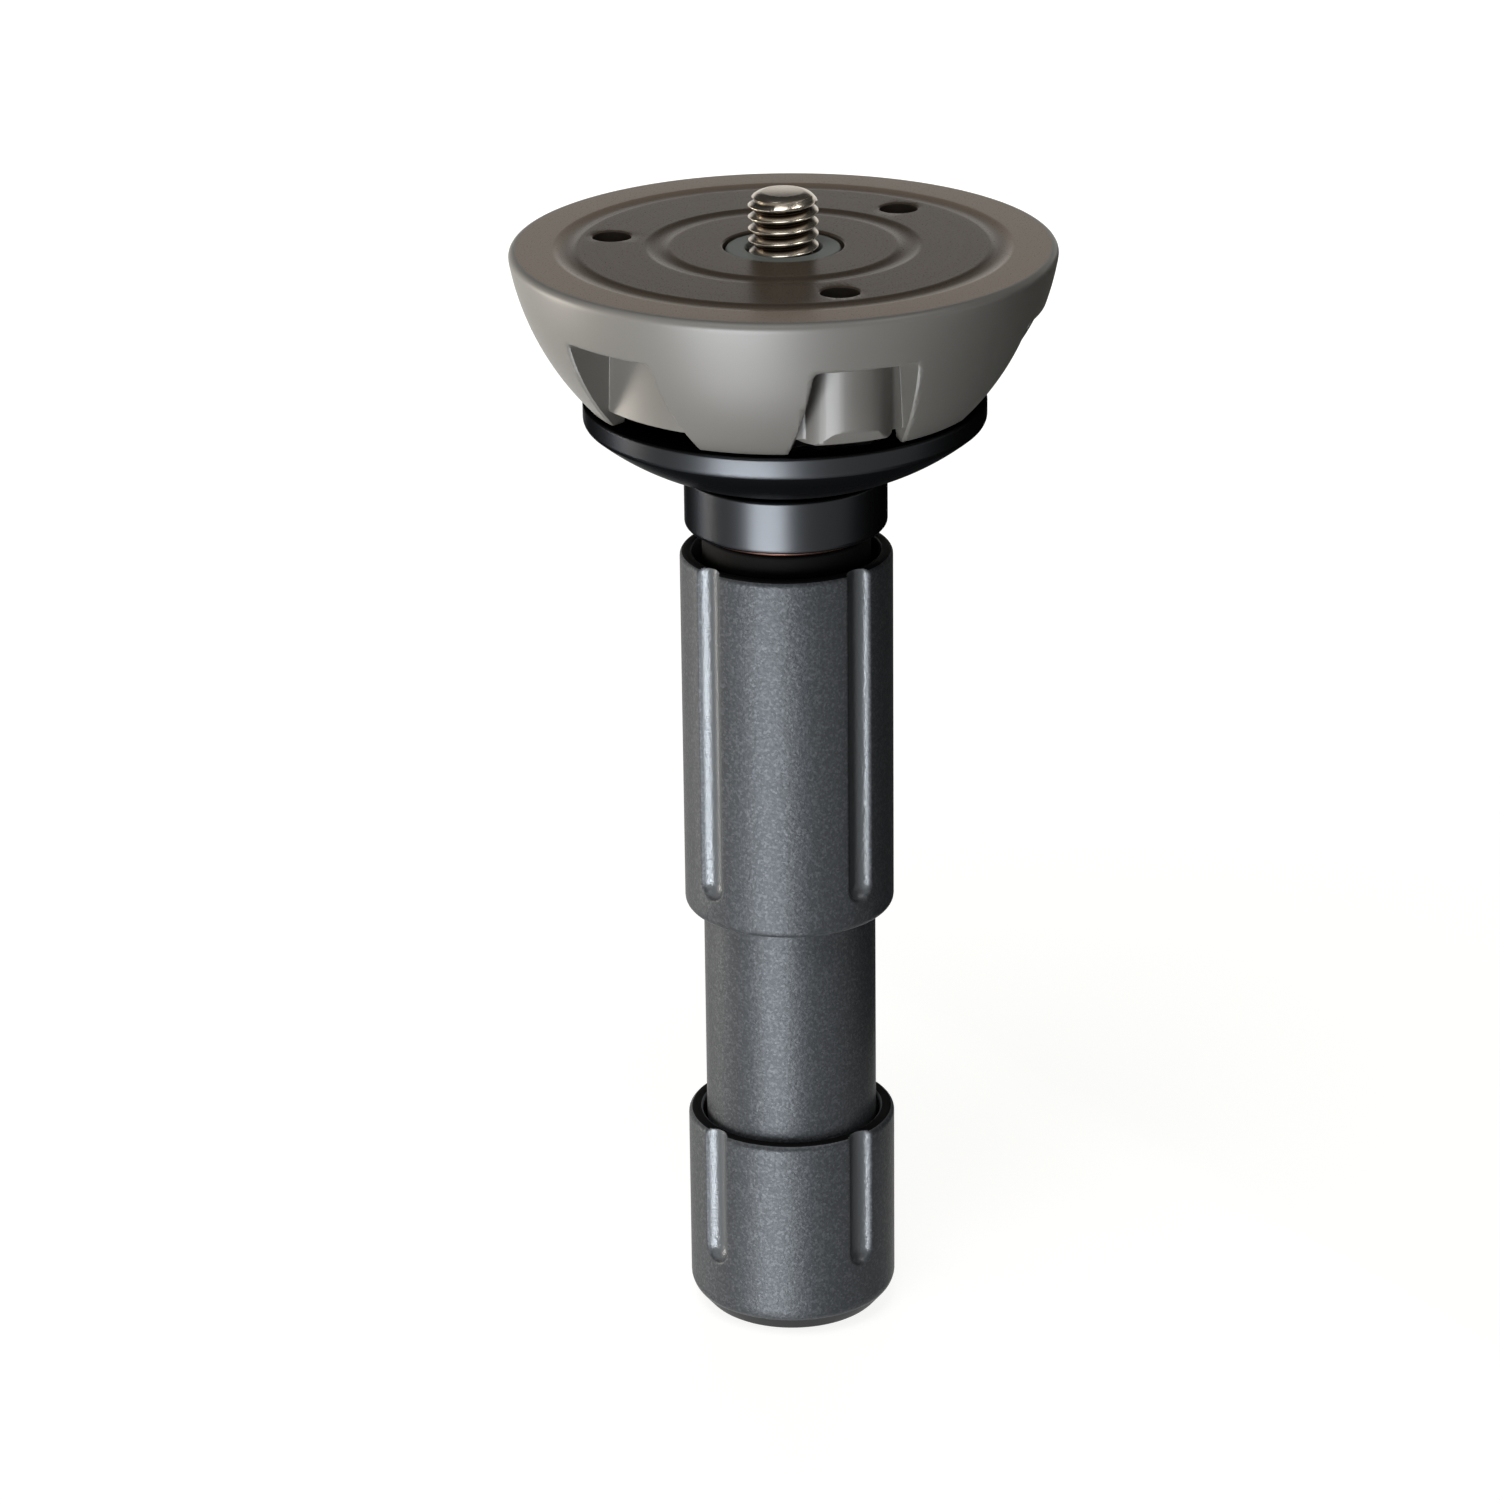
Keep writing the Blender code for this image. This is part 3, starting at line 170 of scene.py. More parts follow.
def pull_point(outwards, upwards):
    """Pull the selected point along, in metres, and leave an edge behind it."""
    bpy.ops.mesh.extrude_region_move(TRANSFORM_OT_translate={"value": (outwards, 0, upwards)})


def draw_section(name, corners):
    """Draw a half-section from (radius, depth, round, steps) corners, and stay in edit mode."""
    piece = start_point(name, corners[0][0], corners[0][1])
    for here, there in zip(corners, corners[1:] + corners[:1]):
        if here[0] != 0 or there[0] != 0:
            pull_point((there[0] - here[0]) * MM, (here[1] - there[1]) * MM)
    select_all()
    bpy.ops.mesh.remove_doubles(threshold=TOUCH)
    for corner in corners:
        if len(corner) > 2:
            place = Vector((corner[0] * MM, 0, level(corner[1])))
            select_points(piece, lambda point: (point - place).length < TOUCH * 5)
            bpy.ops.mesh.bevel(
                offset=corner[2] * MM, offset_type="OFFSET", segments=corner[3], affect="VERTICES")
    return piece


def spin_section(steps, angle):
    """Sweep what is selected round the main axis."""
    bpy.ops.mesh.spin(
        steps=steps, angle=angle, center=(0, 0, 0), axis=(0, 0, 1), use_auto_merge=False)


def turn_piece(name, corners, sides):
    """A closed turned piece."""
    piece = draw_section(name, corners)
    select_all()
    spin_section(sides, math.tau)
    return close_up(piece)


# %% [markdown]
# ## Cutting, joining and copying
# Windows, holes and sockets are cut with a Boolean modifier, applied at once so that the next step
# works on real faces. A tool is made once at the front, and its copies are turned to their places.

# %% Boolean and copy helpers
def apply_modifier(piece, kind, **settings):
    """Give the active piece a modifier, set it up and apply it at once."""
    modifier = piece.modifiers.new("shape", kind)
    for key, value in settings.items():
        setattr(modifier, key, value)
    bpy.ops.object.modifier_apply(modifier=modifier.name)


def combine(piece, tool, operation="DIFFERENCE"):
    """Cut, join or keep the shared part of two closed meshes, and throw the tool away."""
    make_active(piece)
    apply_modifier(piece, "BOOLEAN", operation=operation, solver="EXACT", object=tool)
    bpy.data.objects.remove(tool)


def turned_copy(piece, angle):
    """A copy of a piece with its own mesh, turned to an angle."""
    copy = piece.copy()
    copy.data = piece.data.copy()
    copy.data.transform(around(angle))
    bpy.context.scene.collection.objects.link(copy)
    return copy


def copies_at(piece, angles):
    """One object made of copies of a piece at some angles, with the first one used up."""
    made = [turned_copy(piece, angle) for angle in angles]
    bpy.data.objects.remove(piece)
    nothing_selected()
    for copy in made:
        copy.select_set(True)
    bpy.context.view_layer.objects.active = made[0]
    bpy.ops.object.join()
    return made[0]


def at_front(piece, distance):
    """Move a piece made on the axis out to the front."""
    piece.data.transform(Matrix.Translation((0, -distance * MM, 0)))
    return piece


def straight_bar(name, radius, top, foot, sides):
    """An upright bar at the main axis, between two depths."""
    bar = add_shape(
        bpy.ops.mesh.primitive_cylinder_add, vertices=sides, radius=radius * MM,
        depth=(foot - top) * MM, location=(0, 0, (level(top) + level(foot)) / 2))
    bar.name = name
    return bar


# %% [markdown]
# ## Smooth faces, crisp edges
# A bevelled edge looks rounded only if the large faces beside it keep their own direction and the
# narrow ones between them blend. The Weighted Normal modifier does just that.

# %% Finish a piece
def finish_piece(piece, body, nodes, material, sharp=62.0):
    """Shade a piece, put its material on, hang it on its body and hide the nodes it replaces."""
    make_active(piece)
    bpy.ops.object.shade_smooth_by_angle(angle=math.radians(sharp))
    apply_modifier(piece, "WEIGHTED_NORMAL", keep_sharp=True, weight=80)
    piece.data.materials.clear()
    piece.data.materials.append(material)
    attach(piece, body)
    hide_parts(*nodes)
    print(piece.name, "has", len(piece.data.polygons), "faces")


# %% [markdown]
# # Finishes
# Every finish is built from nodes on Object coordinates, in metres, so that it keeps its scale and
# place in any view. What several finishes share becomes a node group.

# %% Node helpers
def feed(tree, socket, value):
    """Link another socket into an input, or set the input to a plain value."""
    if isinstance(value, bpy.types.NodeSocket):
        tree.links.new(value, socket)
    else:
        socket.default_value = value


def add_node(tree, kind, **settings):
    """Add a node, set its properties and feed its named inputs."""
    node = tree.nodes.new("ShaderNode" + kind)
    for key, value in settings.items():
        if hasattr(node, key):
            setattr(node, key, value)
        else:
            feed(tree, node.inputs[key.replace("_", " ")], value)
    return node


def object_place(tree):
    return add_node(tree, "TexCoord").outputs["Object"]


def calculate(tree, operation, first, second):
    """A Math node on two values, each a socket or a plain number."""
    node = add_node(tree, "Math", operation=operation)
    feed(tree, node.inputs[0], first)
    feed(tree, node.inputs[1], second)
    return node.outputs[0]


def from_group(tree, group, **inputs):
    """The one output of a node group, with its inputs fed."""
    return add_node(tree, "Group", node_tree=group, **inputs).outputs[0]


def start_group(name, inputs, output):
    """A node group with number inputs and one number output, and its input and output nodes."""
    group = bpy.data.node_groups.new(name, "ShaderNodeTree")
    for label, value in inputs.items():
        socket = group.interface.new_socket(label, in_out="INPUT", socket_type="NodeSocketFloat")
        socket.default_value = value
    group.interface.new_socket(output, in_out="OUTPUT", socket_type="NodeSocketFloat")
    print("Group:", name)
    return group, group.nodes.new("NodeGroupInput"), group.nodes.new("NodeGroupOutput")


# %% [markdown]
# ### Fine grain
# Blasted metal and textured paint are covered in tiny soft bumps. A noise with several layers, each
# twice as fine as the one before, gives a grain with no visible repeat.

# %% Grain group
grain_group, grain_in, grain_out = start_group(
    "fine_grain", {"Grains per metre": 3000.0, "Detail": 3.0}, "Height")
grains = add_node(
    grain_group, "TexNoise", Vector=object_place(grain_group), Roughness=0.62,
    Scale=grain_in.outputs["Grains per metre"], Detail=grain_in.outputs["Detail"])
feed(grain_group, grain_out.inputs["Height"], grains.outputs[0])

# %% [markdown]
# ### Flakes
# The charcoal coat sparkles, as if full of small flakes at different tilts. A Voronoi pattern gives
# each flake its own random value, and a power curve leaves only a few of them bright.

# %% Flake group
flake_group, flake_in, flake_out = start_group(
    "bright_flakes", {"Flakes per metre": 4500.0, "Rarity": 3.0}, "Flakes")
cells = add_node(
    flake_group, "TexVoronoi", feature="F1", Vector=object_place(flake_group),
    Scale=flake_in.outputs["Flakes per metre"])
values = add_node(flake_group, "SeparateColor", Color=cells.outputs["Color"])
bright = calculate(flake_group, "POWER", values.outputs["Red"], flake_in.outputs["Rarity"])
feed(flake_group, flake_out.inputs["Flakes"], bright)

# %% [markdown]
# ### Turning rings
# A lathe tool leaves rings that are finer than a hair, stronger here and weaker there. The distance
# from the axis drives a noise in one dimension, so the rings follow the real centre of the piece.
# A second input mixes height in, which draws the same rings down the side of a cylinder.

# %% Ring group
ring_group, ring_in, ring_out = start_group(
    "turning_rings", {"Rings per metre": 2500.0, "Height share": 0.0}, "Rings")
parts = add_node(ring_group, "SeparateXYZ", Vector=object_place(ring_group))
flat = add_node(ring_group, "CombineXYZ", X=parts.outputs["X"], Y=parts.outputs["Y"])
reach = add_node(ring_group, "VectorMath", operation="LENGTH", Vector=flat.outputs[0])
drop = calculate(ring_group, "MULTIPLY", parts.outputs["Z"], ring_in.outputs["Height share"])
travel = calculate(ring_group, "ADD", reach.outputs["Value"], drop)
rings = add_node(
    ring_group, "TexNoise", noise_dimensions="1D", W=travel, Detail=3.0, Roughness=0.7,
    Scale=ring_in.outputs["Rings per metre"])
feed(ring_group, ring_out.inputs["Rings"], rings.outputs[0])

# %% [markdown]
# ### Share by radius
# Some finishes change with the distance from the axis: the land at the top's edge is paler, a
# painted sheen, and the roots of a thread are darker, a painted shade. A Map Range on that
# distance, in millimetres, gives the share.

# %% Reach group
METRES_TO_MM = (1000.0, 1000.0, 0.0)
reach_group, reach_in, reach_out = start_group(
    "share_by_radius", {"From radius": 27.0, "To radius": 33.0}, "Share")
flat = add_node(reach_group, "VectorMath", operation="MULTIPLY", Vector=object_place(reach_group))
flat.inputs[1].default_value = METRES_TO_MM
reach = add_node(reach_group, "VectorMath", operation="LENGTH", Vector=flat.outputs[0])
ramp = add_node(
    reach_group, "MapRange", interpolation_type="SMOOTHSTEP", Value=reach.outputs["Value"],
    From_Min=reach_in.outputs["From radius"], From_Max=reach_in.outputs["To radius"])
feed(reach_group, reach_out.inputs["Share"], ramp.outputs["Result"])

# %% [markdown]
# ### Slow drifts of tone
# No coat is equally thick all over. A soft noise, a few blotches across the piece, moves the colour
# a little.

# %% Drift group
drift_group, drift_in, drift_out = start_group(
    "tone_drift", {"Blotches per metre": 60.0, "Amount": 0.1}, "Factor")
blotches = add_node(
    drift_group, "TexNoise", Vector=object_place(drift_group), Detail=2.0, Roughness=0.5,
    Scale=drift_in.outputs["Blotches per metre"])
centred = calculate(drift_group, "SUBTRACT", blotches.outputs[0], 0.5)
swing = calculate(drift_group, "MULTIPLY", centred, drift_in.outputs["Amount"])
feed(drift_group, drift_out.inputs["Factor"], calculate(drift_group, "ADD", swing, 1.0))

# %% [markdown]
# ### Putting a finish together
# Each finish starts the same way: a colour that drifts a little, a roughness that follows the
# grain, and a bump from grain and rings. One helper wires this up. Shine is how strongly the
# surface reflects, and tint is the colour of that.

# %% A finish from the groups
def blend_values(tree, low, high, factor):
    """A Map Range node from 0 to 1 onto low to high."""
    return add_node(tree, "MapRange", Value=factor, To_Min=low, To_Max=high).outputs["Result"]


def mix_colours(tree, factor, first, second):
    """A colour Mix node, where each colour is a socket or a triple."""
    node = add_node(tree, "Mix", data_type="RGBA")
    feed(tree, node.inputs[0], factor)
    for socket, colour in ((node.inputs[6], first), (node.inputs[7], second)):
        feed(tree, socket, (*colour, 1.0) if isinstance(colour, tuple) else colour)
    return node.outputs[2]


def new_finish(name, dark, light, metallic, rough, grain, bump, rings=(2500.0, 0.0, 0.0),
               shine=0.5, tint=(1.0, 1.0, 1.0)):
    """Two colours that drift, a (low, high) roughness, grains per metre, bump in mm and rings."""
    material = bpy.data.materials.new(name)
    material.use_nodes = True
    tree = material.node_tree
    shader = tree.nodes["Principled BSDF"]
    shader.inputs["Metallic"].default_value = metallic
    shader.inputs["Specular IOR Level"].default_value = shine
    shader.inputs["Specular Tint"].default_value = (*tint, 1.0)
    drift = from_group(tree, drift_group, Blotches_per_metre=70.0, Amount=0.9)
    share = blend_values(tree, -0.5, 0.5, drift)
    feed(tree, shader.inputs["Base Color"], mix_colours(tree, share, dark, light))
    height = from_group(tree, grain_group, Grains_per_metre=grain)
    feed(tree, shader.inputs["Roughness"], blend_values(tree, *rough, height))
    lathe = from_group(tree, ring_group, Rings_per_metre=rings[0], Height_share=rings[1])
    marks = calculate(tree, "MULTIPLY", lathe, rings[2])
    relief = add_node(
        tree, "Bump", Distance=bump * MM, Strength=1.0,
        Height=calculate(tree, "ADD", height, marks))
    feed(tree, shader.inputs["Normal"], relief.outputs["Normal"])
    return material


def paint_over(material, factor, colour):
    """Mix another colour over the base colour of a finish."""
    tree = material.node_tree
    base = tree.nodes["Principled BSDF"].inputs["Base Color"]
    feed(tree, base, mix_colours(tree, factor, base.links[0].from_socket, colour))


# %% [markdown]
# ### Cast and machined faces
# The casting is a warm, satin grey. Its machined top is darker and browner, with the marks of the
# tool mixed into the colour and a paler land outside the outer ring, a painted sheen. Inside it is
# left rough.

# %% Finishes of the casting
cast_grey = new_finish(
    "cast_grey", (0.178, 0.172, 0.159), (0.210, 0.203, 0.189), 0, (0.38, 0.46), 4200, 0.006,
    shine=0.30)
machined_brown = new_finish(
    "machined_brown", (0.056, 0.042, 0.031), (0.074, 0.057, 0.043), 0, (0.24, 0.33), 4200,
    0.003, rings=(2600, 0, 1.5), shine=0.12, tint=(1, 0.87, 0.74))
tree = machined_brown.node_tree
marks = from_group(tree, ring_group, Rings_per_metre=900.0)
paint_over(machined_brown, blend_values(tree, -0.3, 0.8, marks), (0.108, 0.087, 0.068))
# The paler land outside the outer ring is a painted sheen.
painted_sheen_land = from_group(tree, reach_group, From_radius=28.0, To_radius=31.2)
paint_over(machined_brown, painted_sheen_land, (0.215, 0.172, 0.135))
inside_grey = new_finish(
    "inside_grey", (0.10, 0.097, 0.088), (0.14, 0.136, 0.124), 0.2, (0.5, 0.65), 2600, 0.012)
# The screw holes get a painted shade: a near-black brown on their walls.
hole_dark = new_finish(
    "hole_dark", (0.02, 0.015, 0.010), (0.035, 0.027, 0.018), 0.3, (0.45, 0.6), 2600, 0.01)
print("Finishes of the casting:", cast_grey.name, machined_brown.name, inside_grey.name)

# %% [markdown]
# ### Coats of the disc and the handle
# The disc and hub are anodised nearly black, with a dull edge even at a flat angle. The grips wear
# the sparkling charcoal coat. It is smoother in the finger grooves and carries a painted highlight
# there, and since only they lie deeper than the grip's own skin, the radius alone tells where they
# are.

# %% Coats
dark_alloy = new_finish(
    "dark_alloy", (0.019, 0.020, 0.0215), (0.027, 0.0285, 0.031), 1, (0.30, 0.38), 5200, 0.003,
    rings=(3200, 1, 1.2), tint=(0.14, 0.14, 0.15))
charcoal_coat = new_finish(
    "charcoal_coat", (0.052, 0.056, 0.061), (0.070, 0.075, 0.081), 0.17, (0.34, 0.50), 2100,
    0.075, shine=0.08, tint=(0.12, 0.125, 0.14))
tree = charcoal_coat.node_tree
flakes = from_group(tree, flake_group, Flakes_per_metre=3400.0, Rarity=2.5)
paint_over(charcoal_coat, blend_values(tree, 0.0, 0.28, flakes), (0.20, 0.21, 0.225))

grip_coat = charcoal_coat.copy()
grip_coat.name = "grip_coat"
tree = grip_coat.node_tree
roughness = tree.nodes["Principled BSDF"].inputs["Roughness"]
groove_smooth_and_highlight = from_group(tree, reach_group, From_radius=14.5, To_radius=14.0)
feed(tree, roughness, blend_values(tree, roughness.links[0].from_socket, 0.25, groove_smooth_and_highlight))
# The lower roughness is the smoother coat in the grooves; the paler colour there is a painted
# highlight.
paint_over(grip_coat, groove_smooth_and_highlight, (0.138, 0.147, 0.155))
print("Coats:", dark_alloy.name, charcoal_coat.name, grip_coat.name)

# %% [markdown]
# ### The stud's steel
# The crests of the thread are bright, and the roots between them are darkened with a painted shade.
# The radius tells crest from root. It would also darken the narrow tip of the stud, so everything
# near its end, which is found by height, is kept out of the painted shade.

# %% Bright steel with painted shade in the roots
bright_steel = new_finish(
    "bright_steel", (0.52, 0.47, 0.40), (0.62, 0.57, 0.49), 1, (0.18, 0.27), 5000, 0.002,
    rings=(4000, 1, 1))
tree = bright_steel.node_tree
base = tree.nodes["Principled BSDF"].inputs["Base Color"]
crests = from_group(tree, reach_group, From_radius=3.95, To_radius=4.62)
height = add_node(tree, "SeparateXYZ", Vector=object_place(tree)).outputs["Z"]
tip = add_node(tree, "MapRange", Value=height, From_Min=0.0009, From_Max=0.0014)
outside_painted_shade = calculate(tree, "MAXIMUM", crests, tip.outputs["Result"])
# The dark brown in the thread roots is a painted shade.
feed(tree, base, mix_colours(tree, outside_painted_shade, (0.055, 0.037, 0.022), base.links[0].from_socket))
print("Steel:", bright_steel.name)

# %% [markdown]
# ### The other metals and the nylon
# The rest differ only in colour and in how they shine. What stands in the gap above the upper grip
# is black and hardly shines, a painted shade for the gap.

# %% Steels, bronze, brass and nylon
plain_steel = new_finish(
    "plain_steel", (0.34, 0.34, 0.335), (0.44, 0.44, 0.43), 1, (0.28, 0.42), 4000, 0.003,
    rings=(3000, 1, 1.5))
black_steel = new_finish(
    "black_steel", (0.008, 0.008, 0.009), (0.013, 0.013, 0.014), 0, (0.42, 0.55), 4000, 0.003,
    rings=(3000, 1, 1), shine=0.12)
# This near-black finish is a painted shade for the gap and the lips of the mouths.
oil_black = new_finish(
    "oil_black", (0.005, 0.005, 0.005), (0.008, 0.008, 0.008), 0, (0.60, 0.75), 3000, 0.004,
    rings=(3000, 1, 1), shine=0.03)
# The bronze is far darker than bare bronze: a painted shade for the gap it sits in.
bronze_metal = new_finish(
    "bronze_metal", (0.085, 0.042, 0.032), (0.125, 0.068, 0.054), 1, (0.28, 0.42), 5000, 0.004,
    rings=(3500, 0, 1.5))
turned_brass = new_finish(
    "turned_brass", (0.62, 0.43, 0.18), (0.74, 0.54, 0.25), 1, (0.2, 0.34), 4000, 0.002,
    rings=(3000, 1, 1.5))
grey_nylon = new_finish(
    "grey_nylon", (0.135, 0.15, 0.138), (0.17, 0.185, 0.172), 0, (0.45, 0.6), 2200, 0.006)
black_nylon = new_finish(
    "black_nylon", (0.012, 0.012, 0.013), (0.020, 0.020, 0.021), 0, (0.45, 0.6), 2200, 0.006)
print("Finishes:", len(bpy.data.materials))

# %% [markdown]
# # The half ball
# The real piece is a casting with a machined top. Its skirt is a zone of a sphere, so its section
# is drawn from points on a circle rather than from a bevelled cone. Two shallow rings are turned
# into the top, and the middle has a stepped hole for the stud and its collar.

# %% Turn the body of the half ball
BALL_SIDES = 240
SKIN_STEPS = 20
SKIRT_DEPTH = 20.9
RISE = 5.2  # sphere centre above the top face
RIM_ROUND = 1.1
COUNTERBORE = 8.16
STUD_HOLE = 6.6
BOSS_BORE = 8.3
BOSS_RADIUS = 12.6
SKIRT_BORE = 24.6
PLATE_DEPTH = 6.8


def skin_radius(depth):
    return math.sqrt(BALL_RADIUS ** 2 - (RISE + depth) ** 2)


def skin_corners(top, foot):
    """Corners down the sphere, evenly spaced by latitude."""
    first, last = (math.asin((RISE + depth) / BALL_RADIUS) for depth in (top, foot))
    turns = [first + (last - first) * step / SKIN_STEPS for step in range(SKIN_STEPS + 1)]
    return [(BALL_RADIUS * math.cos(turn), BALL_RADIUS * math.sin(turn) - RISE) for turn in turns]


def shallow_ring(inner, outer, depth):
    """A round-bottomed ring with softened shoulders."""
    half = (outer - inner) / 2
    sweep = (half ** 2 + depth ** 2) / (2 * depth)
    corners = [(inner, 0, 0.3, 4)]
    for step in range(1, 8):
        along = half * (step / 4 - 1)
        corners.append((inner + half + along, depth - sweep + math.sqrt(sweep ** 2 - along ** 2)))
    return corners + [(outer, 0, 0.3, 4)]


section = [(STUD_HOLE, 2.9), (COUNTERBORE, 2.9), (COUNTERBORE, 0, 0.3, 3)]
section += shallow_ring(15.4, 18.5, 0.28) + shallow_ring(27.9, 30.9, 0.3)
section += [(skin_radius(0), 0, RIM_ROUND, 6)] + skin_corners(1.6, SKIRT_DEPTH - 0.5)
section += [
    (skin_radius(SKIRT_DEPTH), SKIRT_DEPTH, 0.3, 2), (SKIRT_BORE, SKIRT_DEPTH, 0.3, 2),
    (SKIRT_BORE - 0.4, PLATE_DEPTH, 2.0, 5), (BOSS_RADIUS + 0.4, PLATE_DEPTH, 1.6, 4),
    (BOSS_RADIUS, 16.5, 0.5, 3), (BOSS_BORE, 16.5, 0.4, 2), (BOSS_BORE, 6.2), (STUD_HOLE, 6.2)]
half_ball = turn_piece("half_ball_casting", section, BALL_SIDES)
print("Turned body:", len(half_ball.data.polygons), "faces")

# %% [markdown]
# ## The window tool
# Each window is cut from outside through the skin, down to a round wall. Its tool is a plane with
# the window's outline, pulled outwards three times. Each new loop is laid on its own sphere: just
# under the skin, just over it and a little wider, and well outside. The slope between the first two
# leaves the chamfer of a fettled casting.

# %% Make the window tool
WINDOW_TOP, WINDOW_TOP_WIDTH, WINDOW_FOOT_WIDTH = 7.3, 14.3, 15.7
CHAMFER = 0.28
TOOL_OVERRUN = 3  # how far the tool passes the skin and the skirt's foot
LONG_EDGE = 5  # edges longer than this get more points


def lay_on_sphere(piece, radius):
    """Move the selected points along Y until they lie on a sphere about the origin."""
    mesh = bmesh.from_edit_mesh(piece.data)
    for point in mesh.verts:
        if point.select:
            point.co.y = -math.sqrt(radius ** 2 - point.co.x ** 2 - point.co.z ** 2)
    bmesh.update_edit_mesh(piece.data)


def window_outline(middle, height):
    """A plane with a window's outline, rounded at the top, in edit mode."""
    slope = (WINDOW_FOOT_WIDTH - WINDOW_TOP_WIDTH) * TOOL_OVERRUN / (SKIRT_DEPTH - WINDOW_TOP)
    foot_width = WINDOW_FOOT_WIDTH + slope
    tool = add_shape(
        bpy.ops.mesh.primitive_plane_add, size=MM, location=(0, -20 * MM, middle),
        rotation=(math.pi / 2, 0, 0))
    bpy.ops.object.mode_set(mode="EDIT")
    bpy.ops.mesh.select_mode(type="VERT")
    select_all()
    bpy.ops.transform.resize(value=(WINDOW_TOP_WIDTH, 1, height), center_override=(0, 0, middle))
    select_points(tool, lambda point: point.z < middle)
    bpy.ops.transform.resize(
        value=(foot_width / WINDOW_TOP_WIDTH, 1, 1), center_override=(0, 0, middle))
    select_points(tool, lambda point: point.z > middle)
    bpy.ops.mesh.bevel(offset=0.9 * MM, segments=4, affect="VERTICES")
    select_edges(tool, lambda edge: edge.calc_length() > LONG_EDGE * MM)
    bpy.ops.mesh.subdivide(number_cuts=15)
    return tool


def window_tool():
    """The outline, pulled out through the skin with a chamfer on the way."""
    foot = SKIRT_DEPTH + TOOL_OVERRUN
    height = foot - WINDOW_TOP
    middle = (level(WINDOW_TOP) + level(foot)) / 2
    tool = window_outline(middle, height)
    bpy.ops.mesh.select_mode(type="FACE")
    select_all()
    wider = (WINDOW_TOP_WIDTH + 4 * CHAMFER) / WINDOW_TOP_WIDTH
    taller = (height + 4 * CHAMFER) / height
    for clearance in (-CHAMFER, CHAMFER, TOOL_OVERRUN):
        bpy.ops.mesh.extrude_region_move(TRANSFORM_OT_translate={"value": (0, -MM, 0)})
        if clearance == CHAMFER:
            bpy.ops.transform.resize(value=(wider, 1, taller), center_override=(0, 0, middle))
        lay_on_sphere(tool, (BALL_RADIUS + clearance) * MM)
    return close_up(tool)


window = window_tool()
print("Window tool:", len(window.data.polygons), "faces")

# %% [markdown]
# ## The six windows
# In a casting the corner between a window's side and the wall behind it is a small fillet. So the
# tool is first cut to the shape of the wall, then its edges there are bevelled, and what it leaves
# behind is round. Only after that is it copied six times.

# %% Cut six windows
WINDOW_WALL = 27.5
WALL_FOOT = 18.6
CORNER_FILLET = 0.42
WINDOW_ANGLES = [18 + 60 * index for index in range(6)]


def soften_back(tool):
    """Round the edges of a window tool where it meets the wall."""
    def at_wall(edge):
        on_wall = all(abs(math.hypot(point.co.x, point.co.y) - WINDOW_WALL * MM) < 0.02 * MM
                      and point.co.z > level(WALL_FOOT + 0.01) for point in edge.verts)
        return on_wall and len(edge.link_faces) == 2 and edge.calc_face_angle() > 0.6

    make_active(tool)
    bpy.ops.object.mode_set(mode="EDIT")
    select_edges(tool, at_wall)
    bpy.ops.mesh.bevel(offset=CORNER_FILLET * MM, segments=4, affect="EDGES", clamp_overlap=True)
    return close_up(tool)


core = [(0, -3), (WINDOW_WALL, -3), (WINDOW_WALL, WALL_FOOT), (0, WALL_FOOT)]
combine(window, turn_piece("window_core", core, BALL_SIDES))
combine(half_ball, copies_at(soften_back(window), WINDOW_ANGLES))
print("With windows:", len(half_ball.data.polygons), "faces")

# %% [markdown]
# ## Bosses, ribs and screw holes
# Three of the windows show the round boss of a lock screw. The bosses are upright bars trimmed to
# the sphere, the ribs are plain bars under the plate, and both are joined to the body before the
# holes go through everything at once.

# %% Join the bosses and ribs, and drill the holes
SCREW_CIRCLE = 23.7
SCREW_ANGLES = [18, 138, 258]

boss = turn_piece("screw_boss", [(0, 3.4), (6.75, 3.4), (6.75, 19.2, 0.3, 3), (0, 19.2)], 72)
bosses = copies_at(at_front(boss, SCREW_CIRCLE), SCREW_ANGLES)
skin = [(0, 1), (skin_radius(1), 1)] + skin_corners(1.6, SKIRT_DEPTH) + [(0, SKIRT_DEPTH)]
combine(bosses, turn_piece("ball_envelope", skin, BALL_SIDES), "INTERSECT")
combine(half_ball, bosses, "UNION")


def rib(reach):
    """A rib at the front, from the centre boss out to a reach."""
    nothing_selected()
    inner = BOSS_RADIUS - 1.2
    bpy.ops.mesh.primitive_cube_add(size=MM, location=(0, -(inner + reach) / 2 * MM, level(9.05)))
    bar = bpy.context.object
    bar.scale = (2.4, reach - inner, 6.9)
    bpy.ops.object.transform_apply(location=True, rotation=True, scale=True)
    return bar


combine(half_ball, copies_at(rib(25.8), [78, 198, 318]), "UNION")
combine(half_ball, copies_at(rib(18.5), SCREW_ANGLES), "UNION")
hole = turn_piece("screw_hole", [
    (0, -3), (2.95, -3), (2.95, -0.05), (2.65, 0.2), (2.65, 24), (0, 24)], 48)
combine(half_ball, copies_at(at_front(hole, SCREW_CIRCLE), SCREW_ANGLES))
make_active(half_ball)
bpy.ops.object.mode_set(mode="EDIT")
close_up(half_ball)
print("Finished casting:", len(half_ball.data.polygons), "faces")

# %% [markdown]
# ## Which face was machined
# On a real casting the finish changes where a tool has been. Here the place of each face decides:
# the flat top and the counterbore are machined, the screw holes get a painted shade, the inside is
# rough, and the skin with its windows is as cast.

# %% Give the casting its four finishes
finish_piece(half_ball, "ball", ["half_ball"], cast_grey, sharp=50.0)
AS_CAST, MACHINED, INSIDE, HOLE = range(4)
for material in (machined_brown, inside_grey, hole_dark):
    half_ball.data.materials.append(material)
screw_axes = [around(angle) @ Vector((0, -SCREW_CIRCLE * MM, 0)) for angle in SCREW_ANGLES]


